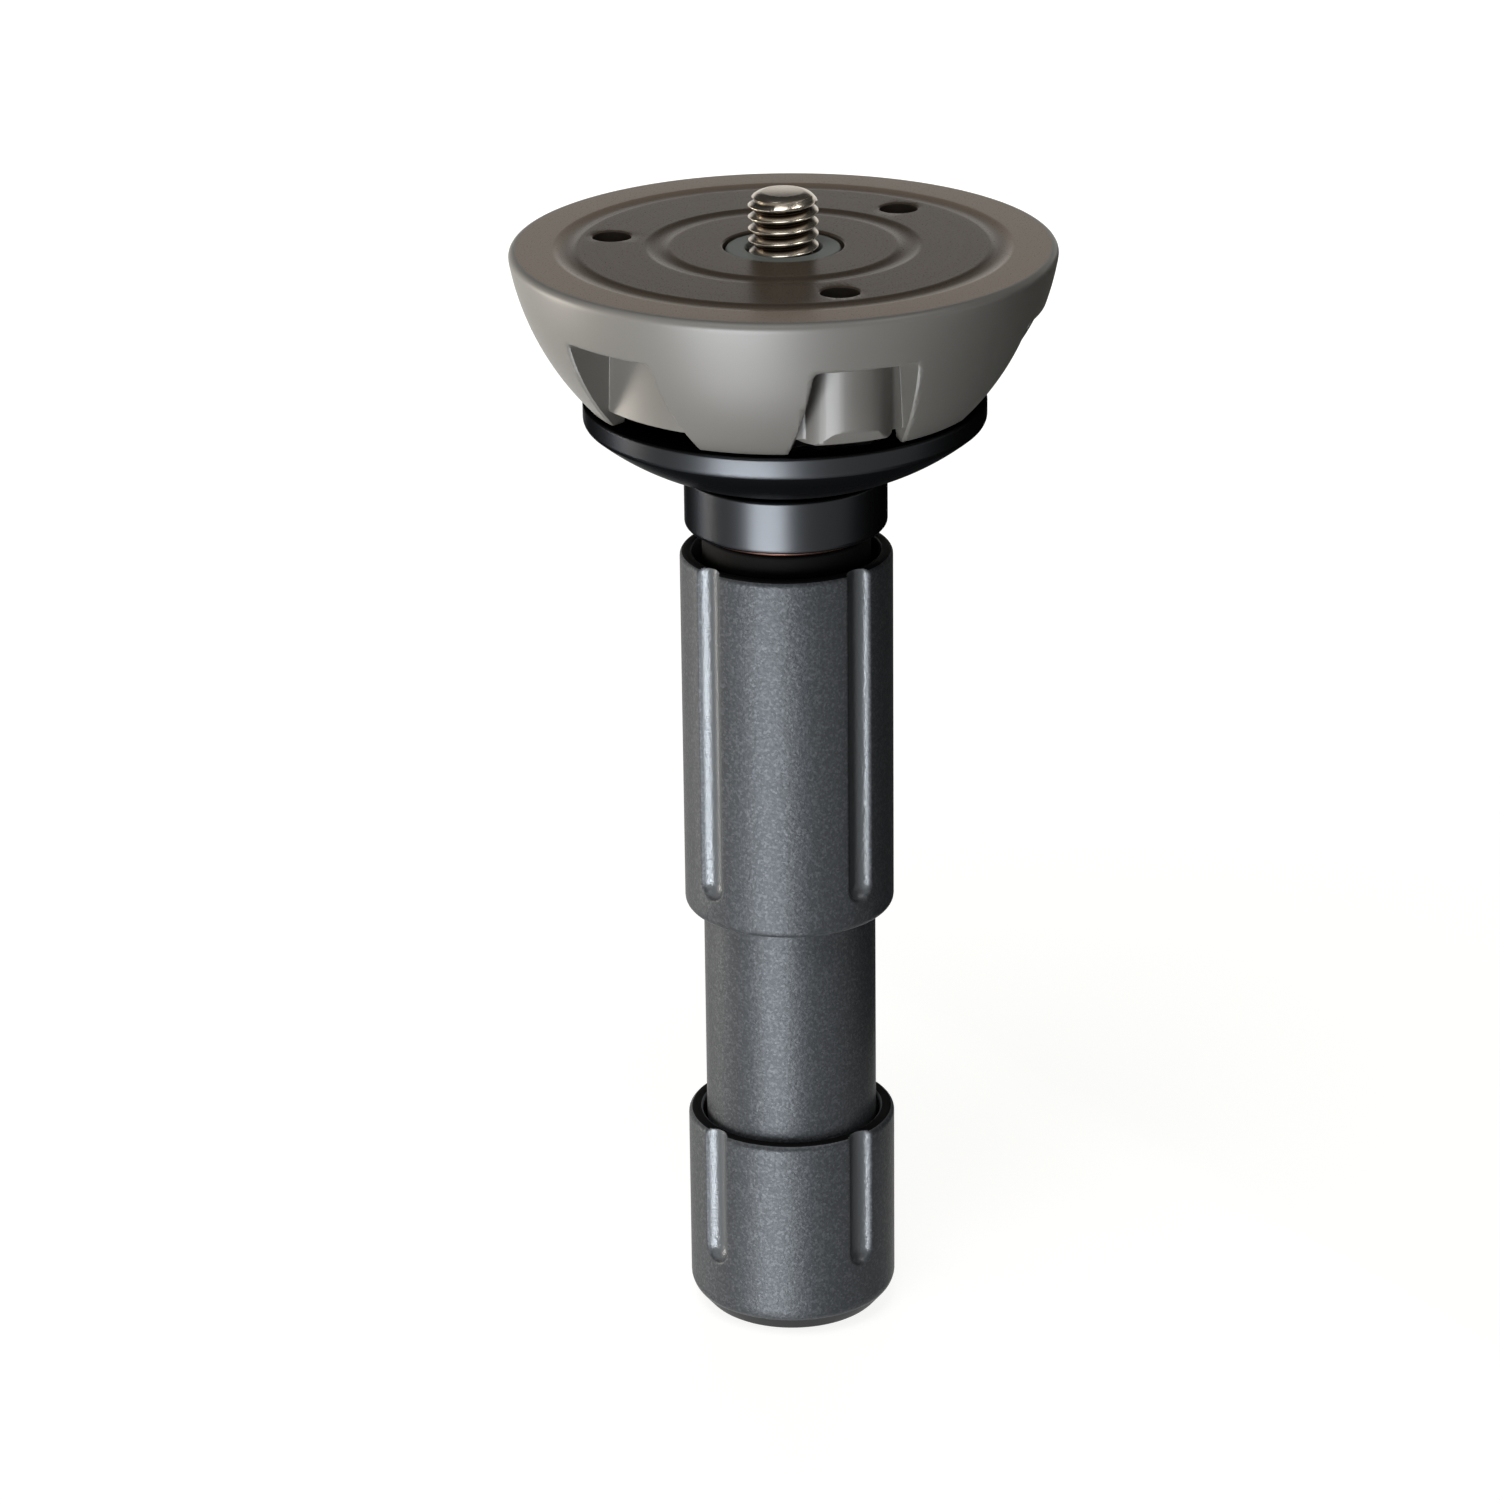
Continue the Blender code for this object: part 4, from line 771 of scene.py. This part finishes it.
def finish_of(centre):
    """Which of the four finishes the face at a place gets."""
    reach = math.hypot(centre.x, centre.y) / MM
    depth = (TOP_FACE - centre.z) / MM
    from_screw = min(math.hypot(centre.x - axis.x, centre.y - axis.y) for axis in screw_axes)
    if from_screw < 2.66 * MM and depth > 0.02:
        return HOLE
    if depth < 0.7 and 8.5 < reach < skin_radius(0) - RIM_ROUND or depth < 3.5 and reach <= 8.5:
        return MACHINED
    if reach < SKIRT_BORE + 0.1 and depth > PLATE_DEPTH - 0.2:
        return INSIDE
    return AS_CAST


for face in half_ball.data.polygons:
    face.material_index = finish_of(face.center)
print("Materials on the casting:", len(half_ball.data.materials))

# %% [markdown]
# # Threads
# A thread is one small wave, repeated and lifted as it goes round. The wave is drawn as a
# half-section of one pitch, and a Screw modifier winds it up the axis. Bisect trims both ends flat
# and fills them.

# %% Wind a thread
def wind_thread(name, radius, pitch, top, foot, steps):
    """A closed, right-hand threaded bar between two depths."""
    depth = pitch * 0.56
    root = radius - depth
    wave = [(root, 0.0), (root, 0.05), (root + depth * 0.06, 0.08), (radius - depth * 0.10, 0.42),
            (radius - depth * 0.02, 0.46), (radius, 0.50), (radius - depth * 0.02, 0.54),
            (radius - depth * 0.10, 0.58), (root + depth * 0.06, 0.92), (root, 0.95)]
    bar = start_point(name, root, foot + pitch)
    for here, there in zip(wave, wave[1:] + [(root, 1.0)]):
        pull_point((there[0] - here[0]) * MM, (there[1] - here[1]) * pitch * MM)
    bpy.ops.object.mode_set(mode="OBJECT")
    apply_modifier(
        bar, "SCREW", axis="Z", angle=math.tau, screw_offset=pitch * MM,
        iterations=math.ceil((foot - top) / pitch) + 3, steps=steps, render_steps=steps,
        use_merge_vertices=True, merge_threshold=TOUCH)
    bpy.ops.object.mode_set(mode="EDIT")
    for end, outwards in ((top, 1), (foot, -1)):
        select_all()
        bpy.ops.mesh.bisect(
            plane_co=(0, 0, level(end)), plane_no=(0, 0, outwards), use_fill=True, clear_outer=True,
            threshold=TOUCH / 10)
    return close_up(bar)


# %% [markdown]
# ## The stud
# The stud is 3/8 inch with sixteen threads to the inch. Its tip is chamfered by keeping only what
# it shares with a turned blank, just as a real stud is chamfered before the thread is rolled. The
# plain flange below it was turned separately and is joined on.

# %% Make the stud
STUD_RADIUS = 4.7625
STUD_PITCH = 25.4 / 16
STUD_RISE = 7.4
BLANK_RADIUS = STUD_RADIUS + 0.02
stud = wind_thread("stud_bolt", STUD_RADIUS, STUD_PITCH, -STUD_RISE, 2.4, 72)
blank = turn_piece("stud_blank", [
    (0, -STUD_RISE), (3.6, -STUD_RISE, 0.9, 6), (BLANK_RADIUS, -6.0, 0.5, 4), (BLANK_RADIUS, 3),
    (0, 3)], 72)
combine(stud, blank, "INTERSECT")
shank = turn_piece("stud_shank", [
    (0, 1.7), (4.1, 1.7), (4.1, 2.9), (6.3, 2.9, 0.25, 3), (6.3, 4.9, 0.25, 3), (2.6, 4.9, 0.2, 2),
    (2.6, 16.5, 0.3, 3), (0, 16.5)], 72)
combine(stud, shank, "UNION")
pin_hole = add_shape(
    bpy.ops.mesh.primitive_cylinder_add, vertices=32, radius=1.3 * MM, depth=16 * MM,
    location=(0, 0, level(12.5)), rotation=(math.pi / 2, 0, 0))
combine(stud, pin_hole)
finish_piece(stud, "drive", ["mounting_stud"], bright_steel, sharp=40.0)

# %% [markdown]
# ## The spindle
# The spindle is a tube with an M16 thread on the outside. Only a little of it shows, and only when
# the handle is unscrewed, but then the thread catches the light in the gap.

# %% Make the spindle
spindle = wind_thread("threaded_spindle", 8.0, 2.0, 6.5, 80.6, 40)
blank = turn_piece("spindle_blank", [
    (4.9, 6.5), (7.3, 6.5), (8.02, 7.2), (8.02, 16.2), (8.02, 76.3), (7.0, 76.3), (7.0, 78.1),
    (8.02, 78.1), (8.02, 79.9), (7.3, 80.6), (4.9, 80.6)], 72)
combine(spindle, blank, "INTERSECT")
finish_piece(spindle, "ball", ["clamp_spindle"], plain_steel, sharp=40.0)

# %% [markdown]
# ## The collar and the lock nut
# The collar is a plastic ring that keeps the stud's flange down. The lock nut is a six-sided bar
# whose corners are turned off at both ends, with a chamfered hole.

# %% Make the collar and the lock nut
collar = turn_piece("stud_collar_ring", [
    (5.25, 0.3, 0.15, 3), (7.72, 0.3, 0.25, 4), (7.86, 1.0, 0.1, 2), (7.86, 2.6, 0.2, 2),
    (5.06, 2.6, 0.2, 2), (5.06, 1.0, 0.2, 2)], 96)
finish_piece(collar, "ball", ["stud_collar"], grey_nylon)


def across_corners(flats):
    """Radius to the corners of a hexagon, from its width across the flats."""
    return flats / 2 / math.cos(math.pi / 6)


NUT_CORNER = across_corners(24.0)
lock_nut = straight_bar("spindle_lock_nut", NUT_CORNER, 16.8, 20.8, 6)
cone = turn_piece("nut_cone", [
    (0, 16.6), (11.1, 16.6), (NUT_CORNER + 0.2, 17.9), (NUT_CORNER + 0.2, 19.7), (11.1, 21.0),
    (0, 21.0)], 120)
combine(lock_nut, cone, "INTERSECT")
bore = turn_piece("nut_bore", [
    (0, 15), (10.9, 15), (8.9, 16.8), (8.3, 17.4), (8.3, 20.2), (8.9, 20.8), (10.9, 22.8),
    (0, 22.8)], 96)
combine(lock_nut, bore)
finish_piece(lock_nut, "ball", ["lock_nut"], black_steel, sharp=25.0)

# %% [markdown]
# ## The lock screws
# Three grub screws stand in the bosses. Each has a cone point ground flat at the top, a hexagonal
# socket at the bottom, and a fine thread between. One is modelled and the others are its copies.

# %% Make three lock screws
SCREW_RADIUS, SCREW_PITCH, SOCKET_FLATS = 2.35, 0.8, 2.5
first_screw = wind_thread("lock_screw", SCREW_RADIUS, SCREW_PITCH, 2.5, 12.5, 40)
blank = turn_piece("screw_blank", [
    (0, 2.5), (1.35, 2.5), (2.36, 3.5), (2.36, 12.0), (1.9, 12.5), (0, 12.5)], 48)
combine(first_screw, blank, "INTERSECT")
combine(first_screw, straight_bar("screw_socket", across_corners(SOCKET_FLATS), 9.5, 14, 6))
at_front(first_screw, SCREW_CIRCLE)
for number, angle in enumerate(SCREW_ANGLES, start=1):
    screw = turned_copy(first_screw, angle)
    screw.name = "lock_screw_" + str(number)
    finish_piece(
        screw, screw.name, ["set_screw_" + str(number)], black_steel, sharp=35.0)
bpy.data.objects.remove(first_screw)

# %% [markdown]
# # The clamp
# The disc is dished, with a plain rim and a belly that swells slightly on its way down to a narrow
# neck. The hub below it and the bronze thrust washer are simple turned rings, but their broken
# edges draw the bright lines that make them look like metal. The hub's foot hangs a little lower
# than the washer's top and hides part of it.

# %% Turn the disc, the hub and the washer
def bowed(start, end, bulge, steps):
    """Corners along a shallow arc between two (radius, depth) points, both left out."""
    start, end = Vector(start), Vector(end)
    slant = end - start
    side = Vector((-slant.y, slant.x)) * bulge
    shares = [step / steps for step in range(1, steps)]
    return [tuple(start + slant * share - side * (1 - (2 * share - 1) ** 2)) for share in shares]


section = [
    (10.5, 28.4), (14.1, 28.4, 0.8, 4), (22.5, 24.0, 0.7, 4), (24.0, 21.2, 0.3, 3),
    (27.5, 21.2, 0.45, 4), (27.5, 24.0, 0.45, 4)]
section += bowed((27.5, 24.0), (14.2, 31.3), 0.053, 18)
section += [(14.2, 31.3, 0.2, 3), (12.6, 31.3), (12.6, 31.6), (10.5, 31.6)]
clamp_disc = turn_piece("clamp_dish", section, 192)
finish_piece(clamp_disc, "clamp", ["clamp_disc"], dark_alloy)

hub = turn_piece("hub_ring", [
    (10.5, 31.9), (13.94, 31.9, 0.45, 4), (13.94, 39.45, 0.8, 6), (12.4, 39.45, 0.2, 2),
    (12.4, 34.8), (10.5, 34.8)], 144)
finish_piece(hub, "clamp", ["clamp_hub"], dark_alloy)

washer = turn_piece("bronze_washer", [
    (8.35, 39.1), (12.0, 39.1, 0.3, 3), (12.0, 40.2, 0.3, 3), (8.35, 40.2)], 128)
finish_piece(washer, "clamp", ["thrust_washer"], bronze_metal)

# %% [markdown]
# # The handle
# The sleeve and the tube are turned, and the tube's lower end has a clear chamfer where it dips
# into the knob. The sleeve stands in the shadow of the grip's mouth, so it gets a near-black
# painted shade.

# %% Turn the sleeve and the tube
sleeve = turn_piece("sleeve_ring", [
    (8.3, 40.5), (11.6, 40.5, 0.4, 3), (11.6, 50.0, 0.2, 2), (8.3, 50.0)], 128)
finish_piece(sleeve, "handle", ["thrust_sleeve"], oil_black)

tube = turn_piece("tube_body", [
    (10.9, 50.3), (12.07, 50.3, 0.2, 2), (12.07, 129.0, 0.8, 5), (10.9, 129.0, 0.1, 2),
    (10.9, 126.7), (9.6, 126.7), (9.6, 64.6), (10.9, 64.6)], 128)
screw_hole = straight_bar("nut_screw_hole", 1.8, 0, 10, 32)
for move in (Matrix.Translation((0, 0, -level(5))), Matrix.Rotation(math.pi / 2, 4, "X"),
             Matrix.Translation((0, -13 * MM, level(57.3)))):
    screw_hole.data.transform(move)
combine(tube, screw_hole)
finish_piece(tube, "handle", ["handle_tube"], charcoal_coat)

# %% [markdown]
# ## Grips with finger grooves
# Both grips have four grooves, open at the rim and round at the foot, as a ball-nosed mill leaves
# them. A Boolean cut would leave knife edges under the paint. So the grip is spun with many narrow
# columns where a groove will be and few between, and the points are then pressed in to the shape
# of the mill. The press is soft near the groove's lip, which rounds it.

# %% Spin a grip and press its grooves
GRIP_RADIUS = 14.67
GROOVE_DEPTH = 1.4
MILL_RADIUS = 2.215
MILL_CENTRE = GRIP_RADIUS - GROOVE_DEPTH + MILL_RADIUS
LIP = 0.16  # softness of the groove's lip
GROOVE_ARC = 15.0  # half the arc that gets narrow columns, in degrees
GROOVE_COLUMNS = 20
PLAIN_COLUMNS = 14


def grip_skin(depths, groove_foot):
    """Corners down a grip's skin, at some depths and close together round a groove's foot."""
    first = groove_foot - MILL_RADIUS - 0.6
    return [(GRIP_RADIUS, depth) for depth in depths + [first + 0.2 * row for row in range(18)]]


def press_groove(point, groove_foot):
    """Where a point of the grip goes when the mill has passed."""
    reach = math.hypot(point.x, point.y) / MM
    turn = math.atan2(point.y, point.x)
    offset = turn - math.radians(90) * round(turn / math.radians(90))
    across = reach * math.sin(offset)
    past = max(0.0, (TOP_FACE - point.z) / MM - (groove_foot - MILL_RADIUS))
    inside = MILL_RADIUS ** 2 - across ** 2 - past ** 2
    if inside > 0:
        floor = MILL_CENTRE - math.sqrt(inside)
    else:
        floor = MILL_CENTRE + (math.sqrt(across ** 2 + past ** 2) - MILL_RADIUS) * 2
    excess = reach - floor
    press = (excess + math.sqrt(excess ** 2 + LIP ** 2)) / 2
    if press < 0.004 or reach < GRIP_RADIUS - GROOVE_DEPTH - 0.4:
        return point
    scale = max(reach - press, 1.0) / reach
    return Vector((point.x * scale, point.y * scale, point.z))


def make_grip(name, section, groove_foot, first_angle):
    """A grip spun in sectors, with four grooves pressed into it."""
    grip = draw_section(name, section)
    select_all()
    plain, grooved = (90 - 2 * GROOVE_ARC, PLAIN_COLUMNS), (2 * GROOVE_ARC, 2 * GROOVE_COLUMNS)
    half_groove = (GROOVE_ARC, GROOVE_COLUMNS)
    for arc, columns in [half_groove] + [plain, grooved] * 3 + [plain, half_groove]:
        spin_section(columns, math.radians(arc))
    close_up(grip)
    for point in grip.data.vertices:
        point.co = press_groove(point.co, groove_foot)
    make_active(grip)
    bpy.ops.object.mode_set(mode="EDIT")
    close_up(grip)
    grip.data.transform(around(first_angle - 90))
    return grip


UPPER_MOUTH, UPPER_FOOT, UPPER_GROOVE_FOOT = 43.0, 95.5, 91.5
section = [(13.0, UPPER_MOUTH, 0.5, 4), (GRIP_RADIUS, UPPER_MOUTH, 0.9, 6)]
section += grip_skin([50.0, 60.0, 70.0, 80.0], UPPER_GROOVE_FOOT)
section += [(GRIP_RADIUS, UPPER_FOOT, 1.2, 6), (12.37, UPPER_FOOT), (12.37, 50.0), (13.0, 50.0)]
upper_grip = make_grip("upper_grip_shell", section, UPPER_GROOVE_FOOT, 42.5)
finish_piece(upper_grip, "handle", ["upper_grip"], grip_coat)

# %% [markdown]
# ## Dark mouths
# The lips of the two mouths show no bright rim. So the faces there that look up get a painted
# shade:
# the near-black finish in place of the coat.

# %% Darken the upper grip's mouth
def darken_mouth(grip, mouth, steepest):
    """Put the near-black painted shade on the faces round a grip's mouth that look up steeply
    enough.
    """
    grip.data.materials.append(oil_black)
    for face in grip.data.polygons:
        if face.center.z > level(mouth + 1) and face.normal.z > steepest:
            face.material_index = 1


darken_mouth(upper_grip, UPPER_MOUTH, 0.62)
print("Dark faces:", sum(face.material_index == 1 for face in upper_grip.data.polygons))

# %% [markdown]
# ## The knob
# The knob is the same shape, cut shorter, with a chamfered foot and a pocket for its cap. The
# pocket for the brass insert is six-sided and is cut from above. The coat ends above the foot,
# and the foot gets black steel as a painted shade.

# %% Make the knob and its cap
KNOB_MOUTH, KNOB_FOOT, KNOB_GROOVE_FOOT = 127.2, 157.295, 147.6
COAT_END = 154.7
section = [(12.62, KNOB_MOUTH, 0.5, 4), (GRIP_RADIUS, KNOB_MOUTH, 0.9, 6)]
section += grip_skin([132.0, 138.0], KNOB_GROOVE_FOOT)
section += [
    (GRIP_RADIUS, 154.0, 0.9, 5), (11.9, KNOB_FOOT, 1.0, 5), (6.5, KNOB_FOOT, 0.3, 3), (6.5, 151.0),
    (2.65, 151.0), (2.65, 142.0), (12.62, 142.0)]
knob = make_grip("knob_shell", section, KNOB_GROOVE_FOOT, 42.0)
combine(knob, straight_bar("insert_pocket", across_corners(14.6), 139.0, 149.0, 6))
finish_piece(knob, "drive", ["lower_knob"], grip_coat)
darken_mouth(knob, KNOB_MOUTH, 0.85)
# The foot below the coat gets black steel as a painted shade.
knob.data.materials.append(black_steel)
for face in knob.data.polygons:
    if face.center.z < level(COAT_END):
        face.material_index = 2

cap = turn_piece("knob_cap", [
    (0, 155.8), (5.0, 155.8), (5.0, 152.6), (6.2, 152.6), (6.2, KNOB_FOOT, 0.4, 4),
    (4.4, KNOB_FOOT, 0.2, 2), (4.0, 157.0, 0.2, 2), (0, 156.9)], 96)
finish_piece(cap, "drive", ["knob_end_cap"], black_nylon)

# %% [markdown]
# # The pieces that stay as they are
# These nodes hardly show, and their shapes are right as packed. They only need a finish.

# %% Finish the remaining nodes
for material, names in (
        (plain_steel, ("stud_washer", "stud_pin", "drive_rod", "knob_washer")),
        (black_steel, ("spindle_stop_ring", "bush_ring", "nut_lock_screw", "knob_screw")),
        (black_nylon, ("guide_bush", "tube_end_bush")),
        (turned_brass, ("drive_nut", "knob_insert"))):
    for name in names:
        slots = frame["nodes"][name].data.materials
        slots.clear()
        slots.append(material)
    print(material.name, "for", *names)

# %% [markdown]
# # Floor, light and camera
# The photograph was taken from a little above, on plain white, with soft light from the front left.
# The floor looks white to the camera and to reflections but gives little light back, or the dark
# edges of the grips would fill in. It glows a little less near the part, so that the shadow shows.
# Seen from below it is clear, so that the underside of the part can be seen.

# %% Floor
def mix_shaders(tree, factor, first, second):
    """A Mix Shader node on two shaders."""
    node = add_node(tree, "MixShader")
    for socket, value in zip(node.inputs, (factor, first, second)):
        feed(tree, socket, value)
    return node.outputs[0]


def seen_directly(tree):
    """1 for a ray from the camera or one that a mirror or glass sends on, and 0 for the rest."""
    rays = add_node(tree, "LightPath").outputs
    sent_on = calculate(tree, "MAXIMUM", rays["Is Glossy Ray"], rays["Is Transmission Ray"])
    return calculate(tree, "MAXIMUM", rays["Is Camera Ray"], sent_on)


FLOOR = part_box("knob_end_cap")[0].z - 0.02 * MM
nothing_selected()
bpy.ops.mesh.primitive_circle_add(vertices=96, radius=4.0, fill_type="NGON", location=(0, 0, FLOOR))
floor = bpy.context.object
floor.name = "floor"
floor_paint = bpy.data.materials.new("floor_paint")
floor_paint.use_nodes = True
tree = floor_paint.node_tree
tree.nodes.clear()
matt = add_node(tree, "BsdfDiffuse", Color=(0.30, 0.30, 0.295, 1.0)).outputs[0]
reach = add_node(tree, "VectorMath", operation="LENGTH", Vector=object_place(tree))
paler = add_node(
    tree, "MapRange", interpolation_type="SMOOTHSTEP", Value=reach.outputs["Value"], From_Min=0.25,
    From_Max=0.9, To_Min=0.88, To_Max=1.0)
glow = add_node(tree, "Emission", Color=(1.0, 1.0, 0.985, 1.0), Strength=paler.outputs["Result"])
both = add_node(tree, "AddShader")
feed(tree, both.inputs[0], matt)
feed(tree, both.inputs[1], glow.outputs[0])
from_above = mix_shaders(tree, seen_directly(tree), matt, both.outputs[0])
underside = add_node(tree, "NewGeometry").outputs["Backfacing"]
clear = add_node(tree, "BsdfTransparent").outputs[0]
add_node(tree, "OutputMaterial", Surface=mix_shaders(tree, underside, from_above, clear))
floor.data.materials.append(floor_paint)
floor.visible_shadow = False
floor_paint.cycles.emission_sampling = "NONE"
print("Floor at", round(FLOOR / MM, 2), "mm")

# %% [markdown]
# ### The world
# The world is white to the camera. In reflections it is white near the horizon and dark above it,
# like the walls and the ceiling of a studio, and that is what shades the flat top.

# %% World
WARM_WHITE = (1.0, 0.97, 0.93, 1.0)
world = bpy.data.worlds.new("studio")
bpy.context.scene.world = world
world.use_nodes = True
tree = world.node_tree
tree.nodes.clear()
ambient = add_node(tree, "Background", Color=WARM_WHITE, Strength=0.06).outputs[0]
white = add_node(tree, "Background", Color=(1.0, 1.0, 0.985, 1.0), Strength=1.0).outputs[0]
sky = add_node(tree, "SeparateXYZ", Vector=add_node(tree, "TexCoord").outputs["Generated"])
fade = add_node(
    tree, "MapRange", interpolation_type="SMOOTHSTEP", Value=sky.outputs["Z"], From_Min=0.25,
    From_Max=0.315, To_Min=1.0, To_Max=0.05)
mirrored = add_node(tree, "Background", Color=WARM_WHITE, Strength=fade.outputs["Result"])
camera_ray = add_node(tree, "LightPath").outputs["Is Camera Ray"]
shown = mix_shaders(tree, camera_ray, mirrored.outputs[0], white)
add_node(tree, "OutputWorld", Surface=mix_shaders(tree, seen_directly(tree), ambient, shown))
world.cycles.sampling_method = "NONE"
print("World:", world.name)

# %% [markdown]
# ### Soft lamps
# In the photograph the shade and the shine come from different heights, so some lamps here only
# shade and some only shine. The soft box above lights the top, the low ones draw the bright band
# down the middle, the warm one stands far left, and two weak ones keep the back readable.

# %% Lamps
AIM = Vector((0, 0, -0.06))
LAMP_DISTANCE = 1.1


def soft_light(name, azimuth, elevation, width, height, power, colour, gives="all"):
    """A soft light aimed at the part, at an azimuth left (-) or right (+) of the front."""
    lamp = bpy.data.lights.new(name, "AREA")
    lamp.shape = "RECTANGLE"
    lamp.size = width
    lamp.size_y = height
    lamp.energy = power
    lamp.color = colour
    lamp.cycles.use_multiple_importance_sampling = elevation > 0
    holder = bpy.data.objects.new(name, lamp)
    bpy.context.scene.collection.objects.link(holder)
    turn, rise = math.radians(azimuth), math.radians(elevation)
    level_reach = math.cos(rise)
    away = Vector((math.sin(turn) * level_reach, -math.cos(turn) * level_reach, math.sin(rise)))
    holder.location = AIM + away * LAMP_DISTANCE
    holder.rotation_euler = away.to_track_quat("Z", "Y").to_euler()
    holder.visible_camera = False
    holder.visible_diffuse = gives != "gloss"
    holder.visible_glossy = gives != "shade"


soft_light("top_softbox", -22, 62, 0.6, 0.6, 5.2, (0.98, 0.99, 1))
soft_light("low_front", -28, -10, 0.4, 0.4, 8.4, (0.97, 0.985, 1), gives="shade")
soft_light("low_band", -21, -22, 0.75, 0.45, 34, (0.95, 0.975, 1), gives="gloss")
soft_light("under_band", -24, -52, 0.65, 0.55, 15, (0.97, 0.985, 1), gives="gloss")
soft_light("warm_side", -100, -4, 0.4, 0.6, 5.2, (1, 0.86, 0.70))
soft_light("left_band", -106, -10, 0.4, 0.6, 7, (1, 0.95, 0.88), gives="gloss")
soft_light("right_spark", 68, 58, 0.25, 0.25, 3, (1, 0.97, 0.93), gives="gloss")
soft_light("back_fill", 180, 6, 0.8, 0.6, 7, (1, 0.98, 0.95), gives="shade")
soft_light("right_fill", 138, 4, 0.6, 0.6, 2.8, (1, 0.98, 0.95), gives="shade")
print("Lamps:", len(bpy.data.lights))

# %% [markdown]
# ### A black card
# The right-hand edges of the part are dark in the photograph, as when a black card stands beside
# it. The card here leans away from the part at the back right. The camera and the lamps look
# through it, so it is only met by what the part reflects.

# %% Black card
card = add_shape(bpy.ops.mesh.primitive_plane_add, size=1)
card.name = "black_card"
for move in (Matrix.Diagonal((0.32, 0.40, 1, 1)), Matrix.Rotation(math.radians(-35), 4, "X"),
             Matrix.Translation((0, -0.235, FLOOR + 0.12)), around(123)):
    card.data.transform(move)
card_paint = bpy.data.materials.new("card_paint")
card_paint.use_nodes = True
shader = card_paint.node_tree.nodes["Principled BSDF"]
shader.inputs["Base Color"].default_value = (0.04, 0.04, 0.04, 1.0)
shader.inputs["Specular IOR Level"].default_value = 0.0
card.data.materials.append(card_paint)
card.visible_camera = False
card.visible_shadow = False
print("Card reaches from", round(min(point.co.z for point in card.data.vertices), 3), "m up")

# %% [markdown]
# ### The camera
# A long lens from 0.7 m keeps the part's sides nearly parallel, as in the photograph. The ellipses
# of the top, the disc and the grips gave its height and tilt. A small shift puts the part where it
# stands in the picture.

# %% Camera
camera_data = bpy.data.cameras.new("camera")
camera_data.lens = 128.2
camera_data.sensor_width = 36.0
camera_data.shift_x = -0.0255
camera = bpy.data.objects.new("camera", camera_data)
bpy.context.scene.collection.objects.link(camera)
camera.location = (0, -0.6927, 0.1936)
tilt, roll = math.radians(68.58), math.radians(-0.55)
aimed = Matrix.Rotation(tilt, 4, "X") @ Matrix.Rotation(roll, 4, "Z")
camera.rotation_euler = aimed.to_euler()
bpy.context.scene.camera = camera
bpy.context.scene.view_settings.view_transform = "Standard"
print("Camera at", tuple(camera.location))
